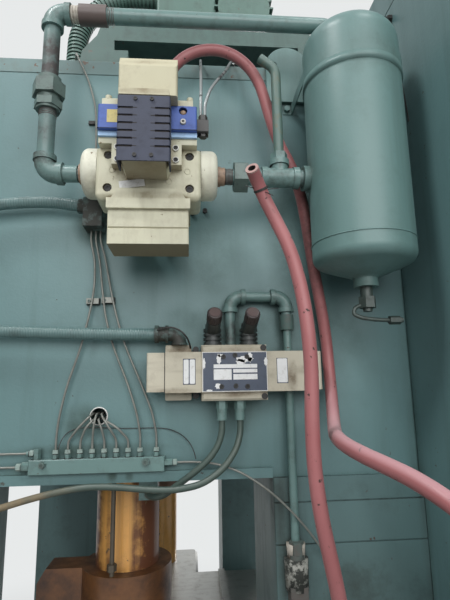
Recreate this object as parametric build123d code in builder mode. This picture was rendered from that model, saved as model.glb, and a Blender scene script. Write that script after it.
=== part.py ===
from build123d import *
import math
import os

os.makedirs("parts", exist_ok=True)

# Main sizes of the press frame, in mm. X runs across the end wall, Y along the press, Z up from the floor.
frame_width = 1280.0
frame_length = 1900.0
foot_height = 70.0
bed_height = 660.0
bolster_height = 120.0
crown_bottom = 2200.0
crown_height = 921.0
lid_height = 40.0
upright_width = 320.0
upright_length = 300.0
upright_proud = 12.0
edge_round = 6.0
fit = 0.05
air_gap = 0.3

bed_top = foot_height + bed_height
bolster_top = bed_top + bolster_height
wall = -frame_length / 2
crown_top = crown_height + lid_height

# The valve station's run along the end wall: valve, union, tee and tank, each set out from the one before.
# The run ends at the side plate, so that the whole station keeps its place against the plate.
valve_x = (-29.0, 171.0)
cap_length = 34.0
union_gap = 35.0
union_length = 28.0
tee_gap = 69.0
boss_gap = 48.0
boss_proud = 13.0
tank_radius = 102.0
tank_plate_gap = 38.0
right_cap_x = valve_x[1] + cap_length
right_union_x = (right_cap_x + union_gap, right_cap_x + union_gap + union_length)
tee_x = right_union_x[1] + tee_gap
boss_face_x = tee_x + boss_gap
tank_x = boss_face_x + boss_proud + tank_radius
station_reach = tank_x + tank_radius + tank_plate_gap
station_x = frame_width / 2 - station_reach
wall_left = -frame_width / 2 - station_x


def spot(x, out, up):
    """A place by x from the station's middle, the distance out from the wall and the height above the crown's edge."""
    return Vector(station_x + x, wall - out, crown_bottom + up)


def rod(start, end, radius):
    """A round bar between two places."""
    with BuildSketch(Plane(origin=start, z_dir=end - start)) as section:
        Circle(radius)
    extrude(section.sketch, amount=(end - start).length)


def hexagon(start, end, flats):
    """A six-sided bar between two places, measured across its flats."""
    with BuildSketch(Plane(origin=start, z_dir=end - start)) as section:
        RegularPolygon(flats / 2, 6, major_radius=False)
    extrude(section.sketch, amount=(end - start).length)


def block(x_range, out_range, up_range):
    """A square-edged block given by its ranges across, out from the wall and up from the crown's lower edge."""
    size = [abs(b - a) for a, b in (x_range, out_range, up_range)]
    middle = [(a + b) / 2 for a, b in (x_range, out_range, up_range)]
    with Locations(spot(*middle)):
        return Box(*size)


def bend_radii(points):
    """The largest even radius at each inner point of a route: 0.45 of the shorter run over the half-turn tangent."""
    radii = []
    for before, here, after in zip(points, points[1:], points[2:]):
        turn = (here - before).get_angle(after - here)
        shorter = min((here - before).length, (after - here).length)
        radii.append(0.45 * shorter / math.tan(math.radians(turn) / 2))
    return radii


def routed_tube(points, diameter, bore=0.0, largest=2000.0):
    """A tube along straight runs joined by tangent arcs."""
    radii = [min(radius, largest) for radius in bend_radii(points)]
    with BuildLine() as route:
        FilletPolyline(*points, radius=radii)
    with BuildSketch(Plane(origin=points[0], z_dir=points[1] - points[0])) as section:
        Circle(diameter / 2)
        if bore:
            Circle(bore / 2, mode=Mode.SUBTRACT)
    sweep(sections=section.sketch, path=route.wires()[0])
    area = math.pi * (diameter**2 - bore**2) / 4
    print("route", round(route.wires()[0].length), "mm, radii", [round(r) for r in radii], "area", round(area))


# Levelling feet: screwed pads under the bed's corners
foot_radius = 70.0
foot_inset = 130.0
foot_places = (frame_width - 2 * foot_inset, frame_length - 2 * foot_inset)

with BuildPart() as levelling_feet:
    with BuildSketch():
        with GridLocations(*foot_places, 2, 2):
            Circle(foot_radius)
    extrude(amount=foot_height * 0.5)
    with BuildSketch(Plane.XY.offset(foot_height * 0.5)):
        with GridLocations(*foot_places, 2, 2):
            RegularPolygon(foot_radius * 0.55, 6)
    extrude(amount=foot_height * 0.5)
levelling_feet.part.label = "levelling_feet"
export_step(levelling_feet.part, "parts/levelling_feet.step")

# Bed: a deep casting with a scrap chute right through it and a rounded plinth
chute_width = 420.0
chute_length = 900.0
pocket_depth = 60.0
pocket_height = 360.0

with BuildPart() as bed:
    with BuildSketch(Plane.XY.offset(foot_height)):
        Rectangle(frame_width, frame_length)
        Rectangle(chute_width, chute_length, mode=Mode.SUBTRACT)
    extrude(amount=bed_height)
    for side in (-1, 1):
        with Locations((side * (frame_width - pocket_depth) / 2, 0, foot_height + bed_height / 2)):
            Box(pocket_depth, chute_length, pocket_height, mode=Mode.SUBTRACT)
    fillet(bed.edges().filter_by(Axis.Z).group_by(SortBy.LENGTH)[-1], edge_round)
bed.part.label = "bed"
export_step(bed.part, "parts/bed.step")

# Bolster plate with its T-slots
bolster_width = 1100.0
bolster_length = 1240.0
slot_pitch = 150.0
slot_neck = 24.0
slot_head = 40.0
slot_depth = 40.0
slot_lip = 18.0

with BuildPart() as bolster:
    with BuildSketch(Plane.XY.offset(bed_top)):
        RectangleRounded(bolster_width, bolster_length, edge_round)
        Rectangle(chute_width * 0.7, chute_length * 0.7, mode=Mode.SUBTRACT)
    extrude(amount=bolster_height)
    with BuildSketch(Plane(origin=(0, -bolster_length / 2, bolster_top), x_dir=(1, 0, 0), z_dir=(0, -1, 0))):
        for side in (-1, 1):
            for turn in (0, 1):
                with Locations((side * (chute_width * 0.35 + slot_pitch * (turn + 0.5)), 0)):
                    Rectangle(slot_neck, slot_lip, align=(Align.CENTER, Align.MAX))
                    with Locations((0, -slot_lip)):
                        Rectangle(slot_head, slot_depth - slot_lip, align=(Align.CENTER, Align.MAX))
    extrude(amount=-bolster_length, mode=Mode.SUBTRACT)
bolster.part.label = "bolster"
export_step(bolster.part, "parts/bolster.step")

# Uprights: stacked blocks at the four corners, parted by open seams
upright_x = (frame_width - upright_width) / 2
upright_y = (frame_length - upright_length) / 2
seam_depth = 3.0
seam_height = 3.0
seam_drops = (48.0, 128.0, 560.0)

for side, side_name in ((-1, "left"), (1, "right")):
    for end, end_name in ((-1, "near"), (1, "far")):
        with BuildPart() as upright:
            middle_y = end * (upright_y + upright_proud / 2)
            with BuildSketch(Plane.XY.offset(bed_top)):
                with Locations((side * upright_x, middle_y)):
                    Rectangle(upright_width, upright_length + upright_proud)
            extrude(amount=crown_bottom - bed_top)
            fillet(upright.edges().filter_by(Axis.Z), edge_round * 0.5)
            for drop in seam_drops:
                face_y = end * (frame_length / 2 + upright_proud - seam_depth / 2)
                with Locations((side * upright_x, face_y, crown_bottom - drop)):
                    Box(upright_width, seam_depth, seam_height, mode=Mode.SUBTRACT)
        upright.part.label = f"upright_{end_name}_{side_name}"
        export_step(upright.part, f"parts/upright_{end_name}_{side_name}.step")

# Crown: the closed upper casting, with a proud bottom edge, two bores for the guide posts and a shaft boss
post_radius = 74.0
post_y = 750.0
bush_wall = 16.0
bush_height = 180.0
bush_flange = 12.0
post_bore_depth = 420.0
lip_height = 20.0
lip_proud = 8.0
tube_hole_x = -40.0
tube_hole_up = 131.0
tube_hole_radius = 16.0
tube_hole_depth = 60.0
far = frame_length / 2
shaft_z = crown_bottom + 430
shaft_radius = 60.0
boss_radius = 130.0
boss_length = 60.0

with BuildPart() as crown:
    with BuildSketch(Plane.XY.offset(crown_bottom)):
        Rectangle(frame_width, frame_length)
    extrude(amount=crown_height)
    fillet(crown.edges().filter_by(Axis.Z), edge_round)
    with BuildSketch(Plane.XY.offset(crown_bottom)):
        for end in (-1, 1):
            with Locations((0, end * (frame_length + lip_proud) / 2)):
                Rectangle(frame_width - 2 * upright_width, lip_proud)
    extrude(amount=lip_height)
    with BuildSketch(Plane.XY.offset(crown_bottom)):
        with Locations((0, -post_y), (0, post_y)):
            Circle(post_radius + bush_wall + fit)
    extrude(amount=bush_height, mode=Mode.SUBTRACT)
    with BuildSketch(Plane.XY.offset(crown_bottom)):
        with Locations((0, -post_y), (0, post_y)):
            Circle(post_radius + air_gap * 10)
    extrude(amount=post_bore_depth, mode=Mode.SUBTRACT)
    with BuildSketch(Plane(origin=spot(tube_hole_x, 0, tube_hole_up), z_dir=(0, 1, 0))):
        Circle(tube_hole_radius)
    extrude(amount=tube_hole_depth, mode=Mode.SUBTRACT)
    with BuildSketch(Plane(origin=(0, far, shaft_z), x_dir=(-1, 0, 0), z_dir=(0, 1, 0))):
        Circle(boss_radius)
    extrude(amount=boss_length, taper=5)
    with BuildSketch(Plane(origin=(0, far, shaft_z), x_dir=(-1, 0, 0), z_dir=(0, 1, 0))):
        Circle(shaft_radius + fit)
    extrude(amount=boss_length, mode=Mode.SUBTRACT)
crown.part.label = "crown"
export_step(crown.part, "parts/crown.step")

# Crown lid: the thick top plate, whose lower edge is broken to show the seam
lid_break = 3.0

with BuildPart() as crown_lid:
    with BuildSketch(Plane.XY.offset(crown_bottom + crown_height)):
        Rectangle(frame_width, frame_length)
    extrude(amount=lid_height)
    chamfer(crown_lid.faces().sort_by(Axis.Z)[0].edges(), lid_break)
    chamfer(crown_lid.faces().sort_by(Axis.Z)[-1].edges(), lid_break)
crown_lid.part.label = "crown_lid"
export_step(crown_lid.part, "parts/crown_lid.step")

# Side plate: a tall plate on the right-hand side that stands out past the end wall
plate_thick = 25.0
plate_out = 290.0
plate_back = 420.0
plate_above = 230.0
plate_seam_up = 1095.0
plate_round = 3.0

with BuildPart() as side_plate:
    top = crown_top + plate_above
    bottom = bed_top - crown_bottom
    block((station_reach, station_reach + plate_thick), (-plate_back, plate_out), (bottom, top))
    fillet(side_plate.edges().filter_by(Axis.Z), plate_round)
    with Locations(spot(station_reach, (plate_out - plate_back) / 2, plate_seam_up)):
        Box(2 * seam_depth, plate_out + plate_back, seam_height, mode=Mode.SUBTRACT)
side_plate.part.label = "side_plate"
export_step(side_plate.part, "parts/side_plate.step")

# Slide: the ram block with a foot under each guide post, a ribbed top and T-slots below
slide_bottom = 1150.0
slide_height = 300.0
slide_width = 1000.0
slide_length = 1160.0
foot_lug_width = 380.0
foot_lug_reach = 320.0
stroke = 40.0
rib_height = 50.0
rib_thick = 30.0

slide_top = slide_bottom + slide_height
lug_y = slide_length / 2 + foot_lug_reach / 2

with BuildPart() as slide:
    with BuildSketch(Plane.XY.offset(slide_bottom)):
        RectangleRounded(slide_width, slide_length, 30)
        for end in (-1, 1):
            with Locations((0, end * (lug_y - 20))):
                RectangleRounded(foot_lug_width, foot_lug_reach + 40, 30)
    extrude(amount=slide_height)
    chamfer(slide.faces().sort_by(Axis.Z)[-1].edges(), 12)
    for side in (-1, 1):
        with Locations((side * slide_width * 0.3, 0, slide_top)):
            Box(rib_thick, slide_length * 0.8, rib_height, align=(Align.CENTER, Align.CENTER, Align.MIN))
    with BuildSketch(Plane(origin=(0, -slide_length / 2, slide_bottom), x_dir=(1, 0, 0), z_dir=(0, -1, 0))):
        for side in (-3, -1, 1, 3):
            with Locations((side * slot_pitch, 0)):
                Rectangle(slot_neck, slot_lip, align=(Align.CENTER, Align.MIN))
                with Locations((0, slot_lip)):
                    Rectangle(slot_head, slot_depth - slot_lip, align=(Align.CENTER, Align.MIN))
    extrude(amount=-slide_length, mode=Mode.SUBTRACT)
slide.part.label = "slide"
export_step(slide.part, "parts/slide.step")

# Guide posts: two thick round posts that stand on the slide and run up into the crown
post_top = crown_bottom + post_bore_depth - stroke - 60

with BuildPart() as guide_posts:
    with BuildSketch(Plane.XY.offset(slide_top)):
        with Locations((0, -post_y), (0, post_y)):
            Circle(post_radius)
    extrude(amount=post_top - slide_top)
guide_posts.part.label = "guide_posts"
export_step(guide_posts.part, "parts/guide_posts.step")

# Guide bushes: flanged bronze sleeves pressed into the crown's lower face
with BuildPart() as guide_bushes:
    with BuildSketch(Plane.XY.offset(crown_bottom - bush_flange)):
        with Locations((0, -post_y), (0, post_y)):
            Circle(post_radius + bush_wall * 2)
    extrude(amount=bush_flange)
    with BuildSketch(Plane.XY.offset(crown_bottom)):
        with Locations((0, -post_y), (0, post_y)):
            Circle(post_radius + bush_wall)
    extrude(amount=bush_height)
    with BuildSketch(Plane.XY.offset(crown_bottom - bush_flange)):
        with Locations((0, -post_y), (0, post_y)):
            Circle(post_radius + fit)
    extrude(amount=bush_flange + bush_height, mode=Mode.SUBTRACT)
guide_bushes.part.label = "guide_bushes"
export_step(guide_bushes.part, "parts/guide_bushes.step")

# Post collars: split clamps on the guide posts, each with a bolted lug at the left
collar_drop = 216.0
collar_height = 150.0
collar_wall = 30.0
collar_lug = 124.0
lug_depth = 70.0

with BuildPart() as post_collars:
    with BuildSketch(Plane.XY.offset(crown_bottom - collar_drop - collar_height)):
        for end in (-1, 1):
            with Locations((0, end * post_y)):
                Circle(post_radius + collar_wall)
                with Locations((-post_radius - collar_lug / 2, 0)):
                    Rectangle(collar_lug, lug_depth)
            with Locations((0, end * post_y)):
                Circle(post_radius + fit, mode=Mode.SUBTRACT)
    extrude(amount=collar_height)
    corner = post_collars.edges().filter_by(Axis.Y).group_by(Axis.X)[0].group_by(Axis.Z)[-1]
    chamfer(corner, 30, 18)
post_collars.part.label = "post_collars"
export_step(post_collars.part, "parts/post_collars.step")

# Stop rod: a thin rod hung from the crown in front of the near guide post, with a nut at its end
stop_rod_x = -18.0
stop_rod_radius = 5.0
stop_rod_drop = 205.0
stop_rod_out = -(frame_length / 2 - post_y) + post_radius + bush_wall * 2 + 14

with BuildPart() as stop_rod:
    rod(spot(stop_rod_x, stop_rod_out, 0), spot(stop_rod_x, stop_rod_out, -stop_rod_drop), stop_rod_radius)
    nut_top = -stop_rod_drop + 24
    hexagon(spot(stop_rod_x, stop_rod_out, nut_top), spot(stop_rod_x, stop_rod_out, nut_top - 14), 18)
    hexagon(spot(stop_rod_x, stop_rod_out, 0), spot(stop_rod_x, stop_rod_out, -10), 18)
stop_rod.part.label = "stop_rod"
export_step(stop_rod.part, "parts/stop_rod.step")

# Flywheel on its shaft at the far end, grooved for the belts
flywheel_radius = 440.0
flywheel_width = 180.0
flywheel_web = 60.0
flywheel_rim = 80.0
belt_groove = 8.0
belt_width = 120.0
wheel_gap = 12.0
wheel_plane = Plane(origin=(0, far + boss_length + wheel_gap, shaft_z), x_dir=(-1, 0, 0), z_dir=(0, 1, 0))

with BuildPart() as flywheel:
    with BuildSketch(wheel_plane):
        Circle(flywheel_radius)
    extrude(amount=flywheel_width)
    with BuildSketch(wheel_plane.offset(flywheel_width)):
        Circle(flywheel_radius - flywheel_rim)
        Circle(boss_radius, mode=Mode.SUBTRACT)
    extrude(amount=-(flywheel_width - flywheel_web), mode=Mode.SUBTRACT)
    with BuildSketch(wheel_plane.offset((flywheel_width - belt_width) / 2)):
        Circle(flywheel_radius)
        Circle(flywheel_radius - belt_groove, mode=Mode.SUBTRACT)
    extrude(amount=belt_width, mode=Mode.SUBTRACT)
    with BuildSketch(wheel_plane.offset(air_gap - boss_length - wheel_gap)):
        Circle(shaft_radius)
    extrude(amount=boss_length + wheel_gap - air_gap)
    with BuildSketch(wheel_plane):
        with PolarLocations(flywheel_radius * 0.56, 6):
            Circle(48)
    extrude(amount=flywheel_width, mode=Mode.SUBTRACT)
flywheel.part.label = "flywheel"
export_step(flywheel.part, "parts/flywheel.step")

# Main motor on the lid at the far end, its grooved pulley and the belt loop down to the flywheel
motor_radius = 170.0
motor_length = 420.0
motor_fins = 24
motor_fin_height = 14.0
motor_rise = 230.0
motor_foot = 260.0
pulley_radius = 110.0
pulley_width = 140.0
pulley_shaft_radius = 24.0
belt_thick = 10.0
motor_z = crown_bottom + crown_top + motor_rise
belt_middle_y = far + boss_length + wheel_gap + flywheel_width / 2
pulley_face_y = belt_middle_y - pulley_width / 2
motor_face_y = pulley_face_y - 40
motor_plane = Plane(origin=(0, motor_face_y, motor_z), x_dir=(1, 0, 0), z_dir=(0, -1, 0))

with BuildPart() as main_motor:
    with BuildSketch(motor_plane):
        Circle(motor_radius - motor_fin_height)
        with PolarLocations(motor_radius - motor_fin_height, motor_fins):
            Rectangle(2 * motor_fin_height, 8)
    extrude(amount=motor_length)
    with BuildSketch(motor_plane):
        Circle(motor_radius)
    extrude(amount=30)
    with BuildSketch(motor_plane.offset(motor_length)):
        Circle(motor_radius)
    extrude(amount=70)
    chamfer(main_motor.faces().sort_by(Axis.Y)[0].edges(), 12)
    with Locations((0, motor_face_y - motor_length / 2, motor_z - motor_rise)):
        Box(motor_foot, motor_length * 0.7, motor_rise - motor_radius * 0.8, align=(Align.CENTER, Align.CENTER, Align.MIN))
    with BuildSketch(motor_plane):
        Circle(pulley_shaft_radius + fit + 20)
        Circle(pulley_shaft_radius + fit, mode=Mode.SUBTRACT)
    extrude(amount=-30)
main_motor.part.label = "main_motor"
export_step(main_motor.part, "parts/main_motor.step")

pulley_plane = Plane(origin=(0, pulley_face_y, motor_z), x_dir=(-1, 0, 0), z_dir=(0, 1, 0))

with BuildPart() as motor_pulley:
    with BuildSketch(pulley_plane):
        Circle(pulley_radius)
    extrude(amount=pulley_width)
    with BuildSketch(pulley_plane.offset((pulley_width - belt_width) / 2)):
        Circle(pulley_radius)
        Circle(pulley_radius - belt_groove, mode=Mode.SUBTRACT)
    extrude(amount=belt_width, mode=Mode.SUBTRACT)
    with BuildSketch(pulley_plane.offset(pulley_width)):
        Circle(pulley_radius - 22)
        Circle(pulley_shaft_radius + 24, mode=Mode.SUBTRACT)
    extrude(amount=-40, mode=Mode.SUBTRACT)
    with BuildSketch(pulley_plane.offset(air_gap - 40)):
        Circle(pulley_shaft_radius)
    extrude(amount=40 - air_gap)
motor_pulley.part.label = "motor_pulley"
export_step(motor_pulley.part, "parts/motor_pulley.step")

belt_seat = air_gap - belt_groove
belt_plane = Plane(origin=(0, belt_middle_y - belt_width / 2 + 1, 0), x_dir=(1, 0, 0), z_dir=(0, -1, 0))

with BuildPart() as drive_belt:
    with BuildSketch(belt_plane):
        for grow, mode in ((belt_thick, Mode.ADD), (0, Mode.SUBTRACT)):
            with BuildSketch(belt_plane, mode=Mode.PRIVATE) as loop:
                with Locations((0, shaft_z)):
                    Circle(flywheel_radius + belt_seat + grow)
                with Locations((0, motor_z)):
                    Circle(pulley_radius + belt_seat + grow)
            outline = make_hull(loop.sketch_local.edges(), mode=Mode.PRIVATE)
            add(outline, mode=mode)
    extrude(amount=-(belt_width - 2))
drive_belt.part.label = "drive_belt"
export_step(drive_belt.part, "parts/drive_belt.step")

# Lubrication unit on a raised stand above the near edge of the crown, with its small finned pump motor
rail_bottom = 1063.0
rail_left = -76.0
rail_right = 470.0
rail_front = -54.0
rail_back = -300.0
rail_height = 44.0
deck_thick = 8.0
sheet_thick = 6.0
leg_width = 34.0
gusset_steps = ((0.0, 0.0), (-10.0, -31.0), (-46.0, -76.0), (-50.0, -100.0))
foot_box_size = (35.0, 40.0, 74.0)
oil_tank_x = (60.0, 225.0)
oil_tank_out = (-280.0, -100.0)
oil_tank_height = 230.0
oil_tank_round = 8.0
pump_x = 300.0
pump_radius = 82.0
pump_rise = 101.0
pump_fin_height = 10.0
pump_fin_thick = 5.0
pump_fins = 20
pump_length = 190.0
pump_front = -90.0
pump_foot = 100.0
deck_up = rail_bottom + rail_height
deck_top = deck_up + deck_thick

with BuildPart() as lube_stand:
    block((rail_left, rail_right), (rail_front - sheet_thick, rail_front), (rail_bottom, deck_up))
    block((rail_left, rail_right), (rail_back, rail_back + sheet_thick), (rail_bottom, deck_up))
    block((rail_left, rail_right), (rail_back, rail_front), (deck_up, deck_top))
    for left, flange in ((rail_left, rail_left), (rail_right - leg_width, rail_right - sheet_thick)):
        for face, inner in ((rail_front, -leg_width), (rail_back, leg_width)):
            skin = (face, face + math.copysign(sheet_thick, inner))
            block((left, left + leg_width), skin, (crown_top, deck_up))
            block((flange, flange + sheet_thick), (face, face + inner), (crown_top, deck_up))
    with BuildSketch(Plane(origin=spot(rail_left, rail_front, deck_up), x_dir=(1, 0, 0), z_dir=(0, -1, 0))):
        with BuildLine():
            Polyline(*gusset_steps, (gusset_steps[-1][0], crown_top - deck_up), (0, crown_top - deck_up), close=True)
        make_face()
    extrude(amount=-sheet_thick)
    box_x, box_deep, box_high = foot_box_size
    foot_box_x = rail_left + leg_width
    block((foot_box_x, foot_box_x + box_x), (rail_front - box_deep, rail_front), (crown_top, crown_top + box_high))
lube_stand.part.label = "lube_stand"
export_step(lube_stand.part, "parts/lube_stand.step")

with BuildPart() as lube_unit:
    block(oil_tank_x, oil_tank_out, (deck_top, deck_top + oil_tank_height))
    fillet(lube_unit.edges().filter_by(Axis.Z), oil_tank_round)
    with BuildSketch(Plane(origin=spot(pump_x, pump_front, deck_top + pump_rise), z_dir=(0, 1, 0))):
        Circle(pump_radius - pump_fin_height)
        with PolarLocations(pump_radius - pump_fin_height, pump_fins):
            Rectangle(2 * pump_fin_height, pump_fin_thick)
    extrude(amount=pump_length)
    foot_x = (pump_x - pump_foot / 2, pump_x + pump_foot / 2)
    block(foot_x, (pump_front - 0.8 * pump_length, pump_front - 0.2 * pump_length), (deck_top, deck_top + pump_rise / 2))
lube_unit.part.label = "lube_unit"
export_step(lube_unit.part, "parts/lube_unit.step")

# Air duct: a corrugated hose from a flange on the lid, up and over the stand into the oil tank's side
duct_radius = 22.0
duct_rib = 4.0
duct_pitch = 11.0
duct_bend = 165.0
duct_flange = 34.0
flange_thick = 6.0
duct_seat = 2.0
duct_lean = 9.0
duct_x = -151.0
duct_out = -136.0
duct_tank_up = 1266.0

with BuildPart() as air_duct:
    with BuildLine() as duct_route:
        FilletPolyline(
            spot(duct_x - duct_lean, duct_out, crown_top + flange_thick),
            spot(duct_x, duct_out, duct_tank_up),
            spot(oil_tank_x[0], duct_out, duct_tank_up),
            radius=duct_bend,
        )
    duct_line = duct_route.wires()[0]
    with BuildSketch(Plane(origin=duct_line @ 0, z_dir=duct_line % 0)) as duct_section:
        Circle(duct_radius)
    sweep(sections=duct_section.sketch, path=duct_line)
    for turn in range(2, int(duct_line.length / duct_pitch)):
        share = turn * duct_pitch / duct_line.length
        with Locations(Plane(origin=duct_line @ share, z_dir=duct_line % share)):
            Cylinder(duct_radius + duct_rib, duct_pitch / 2)
    with Locations(spot(duct_x - duct_lean, duct_out, crown_top + flange_thick / 2 + duct_seat / 2)):
        Box(2 * duct_flange, 2 * duct_flange, flange_thick + duct_seat)
    with Locations(spot(oil_tank_x[0] - flange_thick / 2, duct_out, duct_tank_up)):
        Cylinder(duct_flange, flange_thick, rotation=(0, 90, 0))
air_duct.part.label = "air_duct"
export_step(air_duct.part, "parts/air_duct.step")

# Double valve: the main casting with its round end caps and the two stacked blocks below
port_up = 614.0
pipe_out = 112.0
pipe_radius = 16.7
port_radius = 13.0
port_depth = 10.0
valve_out = (84.0, 170.0)
valve_up = (538.0, 640.0)
flange_up = 20.0
flange_x = (-6.0, 150.0)
shoulder_up = 12.0
shoulder_x = (-21.0, 163.0)
shoulder_out = 190.0
bolt_radius = 6.5
bolt_depth = 8.0
bolt_x = (-6.0, 149.0)
bolt_up = (561.0, 627.0)
cap_radius = 50.0
cap_round = 14.0
socket_gap = 0.2

with BuildPart() as valve_body:
    block(valve_x, valve_out, valve_up)
    fillet(valve_body.edges().filter_by(Axis.Z), 8)
    fillet(valve_body.faces().sort_by(Axis.Z)[0].edges().filter_by(Axis.Y), 12)
    block(flange_x, (valve_out[0] - 8, valve_out[1] + 8), (valve_up[0] - flange_up, valve_up[0]))
    with BuildSketch(Plane(origin=spot(0, valve_out[1], 0), x_dir=(1, 0, 0), z_dir=(0, -1, 0))):
        with BuildLine():
            Polyline((2, valve_up[0]), (14, valve_up[0] + 20), (128, valve_up[0] + 20), (142, valve_up[0]), close=True)
        make_face()
    extrude(amount=6)
    block(shoulder_x, (valve_out[0] + 26, shoulder_out), (valve_up[1], valve_up[1] + shoulder_up))
    with Locations(*[spot(x, valve_out[1] - bolt_depth / 2, up) for x in bolt_x for up in bolt_up]):
        Cylinder(bolt_radius + 2, bolt_depth, rotation=(90, 0, 0), mode=Mode.SUBTRACT)
valve_body.part.label = "valve_body"
export_step(valve_body.part, "parts/valve_body.step")

with BuildPart() as valve_end_caps:
    for x, way in ((valve_x[0], -1), (valve_x[1], 1)):
        with BuildSketch(Plane(origin=spot(x, pipe_out, port_up), z_dir=(way, 0, 0))) as disc:
            Circle(cap_radius)
        extrude(disc.sketch, amount=cap_length)
    outer = valve_end_caps.edges().filter_by(GeomType.CIRCLE).group_by(Axis.X)
    fillet(outer[0] + outer[-1], cap_round)
    for x in (valve_x[0] - cap_length + port_depth / 2, valve_x[1] + cap_length - port_depth / 2):
        with Locations(spot(x, pipe_out, port_up)):
            Cylinder(port_radius + socket_gap, port_depth, rotation=(0, 90, 0), mode=Mode.SUBTRACT)
valve_end_caps.part.label = "valve_end_caps"
export_step(valve_end_caps.part, "parts/valve_end_caps.step")

adapter_x = (-4.0, 147.0)
adapter_up = (482.0, 518.0)
base_up = (451.0, 482.0)
block_break = 2.0
seam_notch = 3.0
foot_pad_x = (30.0, 96.0)
foot_pad_width = 26.0
foot_pad_up = (478.0, 510.0)

with BuildPart() as valve_blocks:
    block(adapter_x, valve_out, adapter_up)
    block(adapter_x, (valve_out[0], valve_out[1]), base_up)
    chamfer(valve_blocks.edges().filter_by(Axis.Z), block_break)
    for x in foot_pad_x:
        block((x, x + foot_pad_width), (0, valve_out[0]), foot_pad_up)
    with Locations(spot(sum(adapter_x) / 2, valve_out[1], base_up[1])):
        Box(adapter_x[1] - adapter_x[0] + 2, seam_notch, seam_notch, rotation=(45, 0, 0), mode=Mode.SUBTRACT)
valve_blocks.part.label = "valve_blocks"
export_step(valve_blocks.part, "parts/valve_blocks.step")

# Pilot head: a deep casting on the valve's face, sloped below, with a screwed ear at each side
head_x = (26.0, 112.0)
head_out = (206.0, 250.0)
head_up = (578.0, 712.0)
ear_width = 22.0
ear_up = (598.0, 640.0)
ear_out = 192.0
cover_wall = 3.0
cover_gap = 0.3

with BuildPart() as pilot_head:
    block(head_x, head_out, head_up)
    block(head_x, (valve_out[1], head_out[0]), (head_up[0], valve_up[1]))
    lower_edges = pilot_head.faces().sort_by(Axis.Z)[0].edges().filter_by(Axis.Y)
    chamfer(lower_edges, 10, 5)
    for x in (head_x[0] - ear_width, head_x[1]):
        block((x, x + ear_width), (valve_out[1], ear_out), ear_up)
pilot_head.part.label = "pilot_head"
export_step(pilot_head.part, "parts/pilot_head.step")

# Slotted cover: a folded black sheet over the pilot head's front and sides, with six slots a side
cover_up = (574.0, 698.0)
cover_sides = 42.0
slot_rows = 6
slot_row_pitch = 14.6
slot_first_up = 601.0
slot_reach = 27.0
slot_height = 4.0
cover_x = (head_x[0] - cover_gap - cover_wall, head_x[1] + cover_gap + cover_wall)
cover_face = head_out[1] + cover_gap + cover_wall

with BuildPart() as slotted_cover:
    block(cover_x, (cover_face - cover_sides, cover_face), cover_up)
    fillet(slotted_cover.edges().filter_by(Axis.Z).group_by(Axis.Y)[0], cover_wall)
    with Locations(spot(sum(head_x) / 2, cover_face - cover_wall - cover_sides / 2, sum(cover_up) / 2)):
        Box(head_x[1] - head_x[0] + 2 * cover_gap, cover_sides, cover_up[1] - cover_up[0], mode=Mode.SUBTRACT)
    for row in range(slot_rows):
        up = slot_first_up + row * slot_row_pitch
        for x, way in ((cover_x[0], 1), (cover_x[1], -1)):
            with Locations(spot(x + way * slot_reach / 2, cover_face, up)):
                Box(slot_reach, cover_sides, slot_height, mode=Mode.SUBTRACT)
slotted_cover.part.label = "slotted_cover"
export_step(slotted_cover.part, "parts/slotted_cover.step")

# Junction box on top of the pilot head, its top edge broken by a broad bevel
box_x = (20.0, 127.0)
box_out = (192.0, 235.0)
box_up = (712.0, 797.0)
box_bevel = (26.0, 15.0)

with BuildPart() as junction_box:
    with BuildSketch(Plane(origin=spot(box_x[1], 0, 0), x_dir=(0, -1, 0), z_dir=(-1, 0, 0))) as side_view:
        with BuildLine():
            Polyline(
                (box_out[0], box_up[0]),
                (box_out[1], box_up[0]),
                (box_out[1], box_up[1] - box_bevel[0]),
                (box_out[1] - box_bevel[1], box_up[1]),
                (box_out[0], box_up[1]),
                close=True,
            )
        make_face()
    extrude(side_view.sketch, amount=box_x[1] - box_x[0])
    fillet(junction_box.edges().filter_by(Axis.Z), 5)
junction_box.part.label = "junction_box"
export_step(junction_box.part, "parts/junction_box.step")

# Pilot manifold: the blue block, the paler band under it and the cream clamp strip over it
manifold_x = (-21.0, 163.0)
manifold_out = (130.0, 205.0)
manifold_up = (662.0, 711.0)
band_out = (130.0, 196.0)
strip_x = (-17.0, 156.0)
strip_out = (130.0, 190.0)
strip_height = 24.0
button_place = (137.0, 678.0)
button_radius = 5.5
button_depth = 16.0
button_proud = 4.0
button_travel = 3.0
recess_place = (137.0, 701.0)
recess_radius = 8.0
peg_radius = 6.0

with BuildPart() as pilot_manifold:
    block(manifold_x, manifold_out, manifold_up)
    fillet(pilot_manifold.edges().filter_by(Axis.Z).group_by(Axis.Y)[0], 4)
    with Locations(spot(sum(head_x) / 2, manifold_out[1], sum(manifold_up) / 2)):
        Box(head_x[1] - head_x[0] + 1, 12, 80, mode=Mode.SUBTRACT)
    with Locations(spot(button_place[0], manifold_out[1] - button_depth / 2, button_place[1])):
        Cylinder(button_radius + fit, button_depth, rotation=(90, 0, 0), mode=Mode.SUBTRACT)
    with Locations(spot(recess_place[0], manifold_out[1] - 5, recess_place[1])):
        Cylinder(recess_radius, 10, rotation=(90, 0, 0), mode=Mode.SUBTRACT)
pilot_manifold.part.label = "pilot_manifold"
export_step(pilot_manifold.part, "parts/pilot_manifold.step")

with BuildPart() as pilot_band:
    block(manifold_x, band_out, (valve_up[1] + shoulder_up, manifold_up[0]))
    with Locations(spot(sum(head_x) / 2, band_out[1], manifold_up[0] - 5)):
        Box(head_x[1] - head_x[0] + 1, 2, 30, mode=Mode.SUBTRACT)
pilot_band.part.label = "pilot_band"
export_step(pilot_band.part, "parts/pilot_band.step")

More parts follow.
